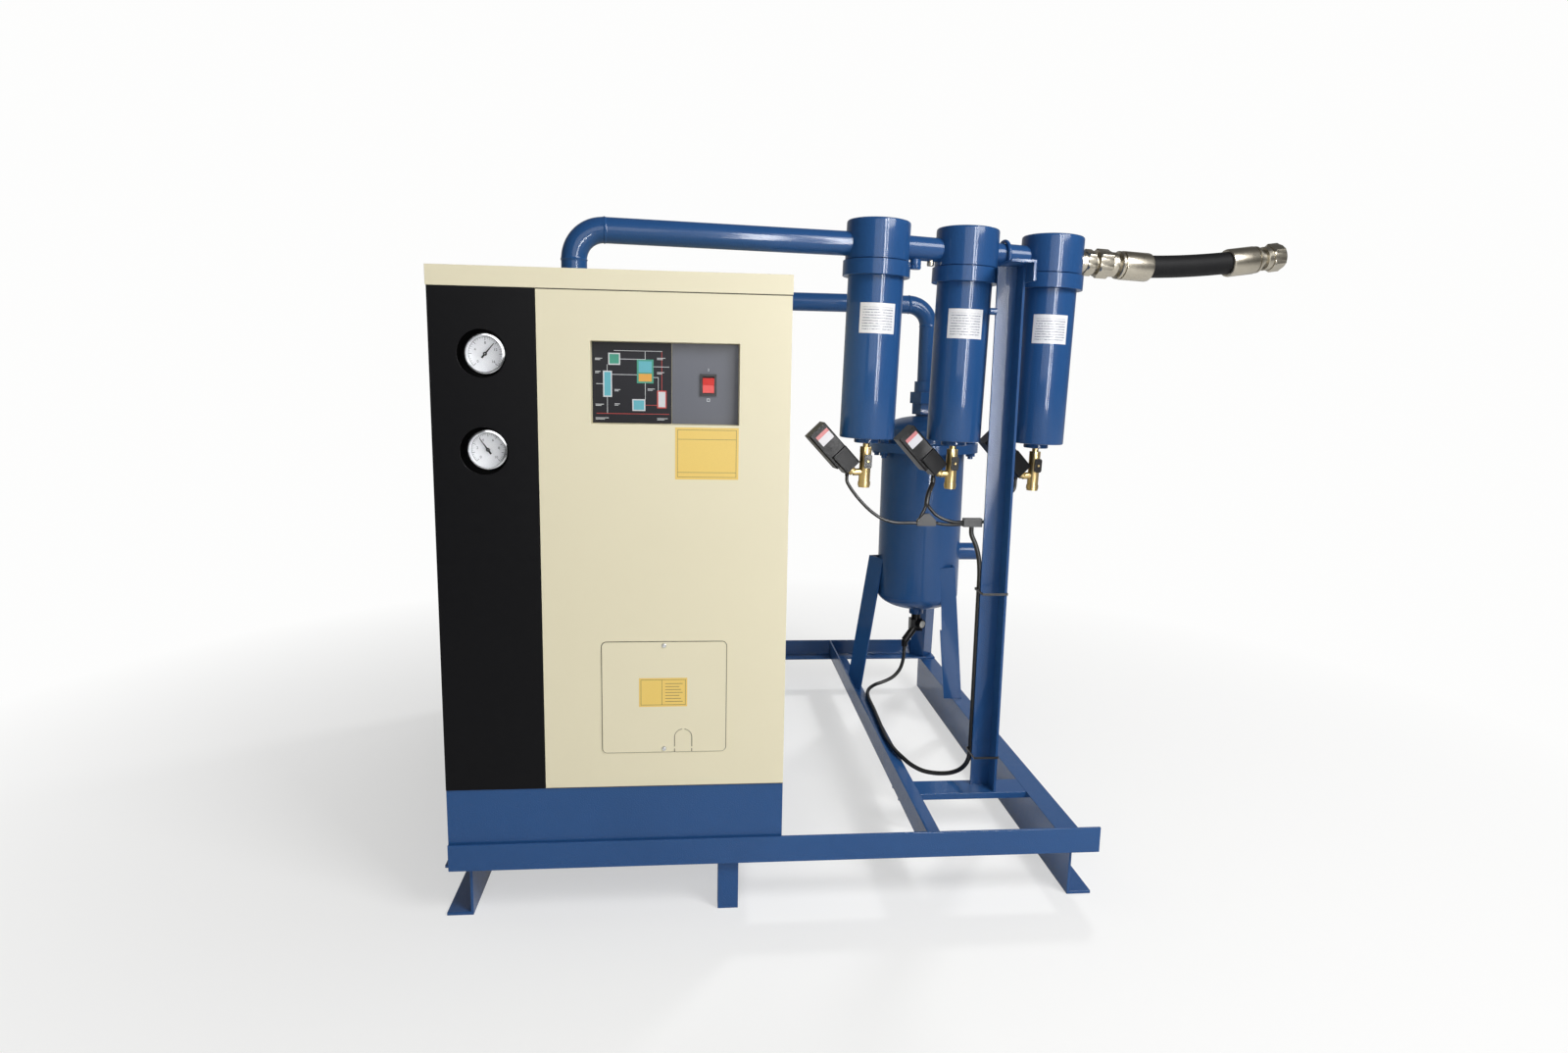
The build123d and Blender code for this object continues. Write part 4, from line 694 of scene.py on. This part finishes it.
# Inside: black compressor pot, foam clad exchanger, finned condenser and its fan, seen only
# through the louvres and the guard. The filter elements stand in the bowls.
enamel = grain("machine_enamel", (0.018, 0.018, 0.020), 0.40, spread=0.1, patch=12, peel=0.0001)
foam = grain("foam_cladding", (0.020, 0.020, 0.021), 0.85, spread=0.2, patch=50, peel=0.0008, peel_scale=300)
fins = grain("fin_stock", (0.62, 0.63, 0.65), 0.38, 1.0, spread=0.06, patch=20)
pleats = grain("filter_medium", (0.70, 0.70, 0.66), 0.9, spread=0.05, patch=30, peel=0.0005, peel_scale=200)
for name, finish, body, slot_name in (
        ("compressor", enamel, "dryer", "machine_black"), ("fan_shroud", enamel, "dryer", "machine_black"),
        ("fan_rotor", enamel, "fan", "machine_black"), ("heat_exchanger", foam, "dryer", "insulation"),
        ("condenser", fins, "dryer", "fin_aluminium"), ("filter_elements", pleats, "dryer", "filter_medium")):
    dressed(name, finish, 0, body=body)

# Studio: pale floor that curves up behind the object, a soft key from the upper right in front,
# two tall strips that draw the bright lines on the bowls, and a weak fill.
depth, width = 7.0, 8.0
run_y = np.concatenate([np.linspace(-5, 4, 10), 4 + 2.5 * np.sin(np.linspace(0, pi / 2, 16))[1:], [6.5]])
run_z = np.concatenate([np.zeros(10), 2.5 - 2.5 * np.cos(np.linspace(0, pi / 2, 16))[1:], [7.0]])
sweep_x = np.linspace(-9, 9, 5)
grid_x, grid_y = np.meshgrid(sweep_x, run_y)
grid_z = np.repeat(run_z[:, None], 5, 1)
row, col = np.meshgrid(np.arange(len(run_y) - 1), np.arange(4), indexing="ij")
corner = row * 5 + col
paper_mesh = bpy.data.meshes.new("floor")
paper_mesh.from_pydata(np.stack([grid_x, grid_y, grid_z], -1).reshape(-1, 3), [],
                       np.stack([corner, corner + 1, corner + 6, corner + 5], -1).reshape(-1, 4).tolist())
paper = Finish("studio_paper", (0.90, 0.90, 0.895), 0.9)
seen = paper.node("LightPath", out="Is Camera Ray")
mirrored = paper.node("LightPath", out="Is Glossy Ray") + paper.node("LightPath", out="Is Transmission Ray")
reach = paper.node("VectorMath", {"operation": "LENGTH"}, {0: paper.place()}, 1)
share = paper.node("MapRange", {}, {0: reach, 1: 0.8, 2: 2.3, 3: 0.55, 4: 1.0})
glow = paper.node("Emission", {}, {"Color": (0.985, 0.985, 0.98, 1), "Strength": 1.0})
paper_out = paper.tree.nodes["Material Output"]
mixed = paper.node("MixShader", {}, {0: seen * share + mirrored * 0.24, 1: Level(paper, paper.shader.outputs[0]),
                                     2: glow})
paper.tree.links.new(mixed.socket, paper_out.inputs["Surface"])
paper_mesh.materials.append(paper.material)
paper_mesh.shade_smooth()
floor = bpy.data.objects.new("floor", paper_mesh)
bpy.context.scene.collection.objects.link(floor)

world = bpy.data.worlds.new("studio")
bpy.context.scene.world = world
world.use_nodes = True
sky = world.node_tree.nodes["Background"]
sky.inputs["Color"].default_value = (1.0, 1.0, 1.0, 1)
direct = world.node_tree.nodes.new("ShaderNodeLightPath")
level = world.node_tree.nodes.new("ShaderNodeMapRange")
level.inputs["To Min"].default_value, level.inputs["To Max"].default_value = 0.11, 1.0
world.node_tree.links.new(direct.outputs["Is Camera Ray"], level.inputs["Value"])
world.node_tree.links.new(level.outputs["Result"], sky.inputs["Strength"])
bpy.context.scene.view_settings.view_transform = "Standard"


def lamp(name, place, target, size, power, shape_y=None, soft=True, shine=True):
    """An area lamp. One without soft light only draws reflections, one without shine draws none."""
    light = bpy.data.lights.new(name, "AREA")
    light.energy, light.size = power, size
    if shape_y:
        light.shape, light.size_y = "RECTANGLE", shape_y
    made = bpy.data.objects.new(name, light)
    made.location = place
    made.rotation_mode = "QUATERNION"
    made.rotation_quaternion = (Vector(target) - Vector(place)).to_track_quat("-Z", "Y")
    made.visible_diffuse, made.visible_glossy = soft, shine
    bpy.context.scene.collection.objects.link(made)


lamp("key", (1.9, -2.6, 2.9), (0.0, -0.2, 0.6), 1.5, 102)
lamp("strip_near", (0.95, -3.1, 1.5), (0.3, 0.0, 0.9), 0.20, 62, 2.6, soft=False)
lamp("strip_far", (1.35, -3.0, 1.5), (0.3, 0.0, 0.9), 0.07, 38, 2.6, soft=False)
lamp("front_fill", (-0.3, -4.0, 1.9), (0.0, 0.0, 0.7), 2.0, 30)
lamp("back_key", (2.0, 2.2, 3.4), (0.0, 0.0, 0.0), 0.5, 60, shine=False)
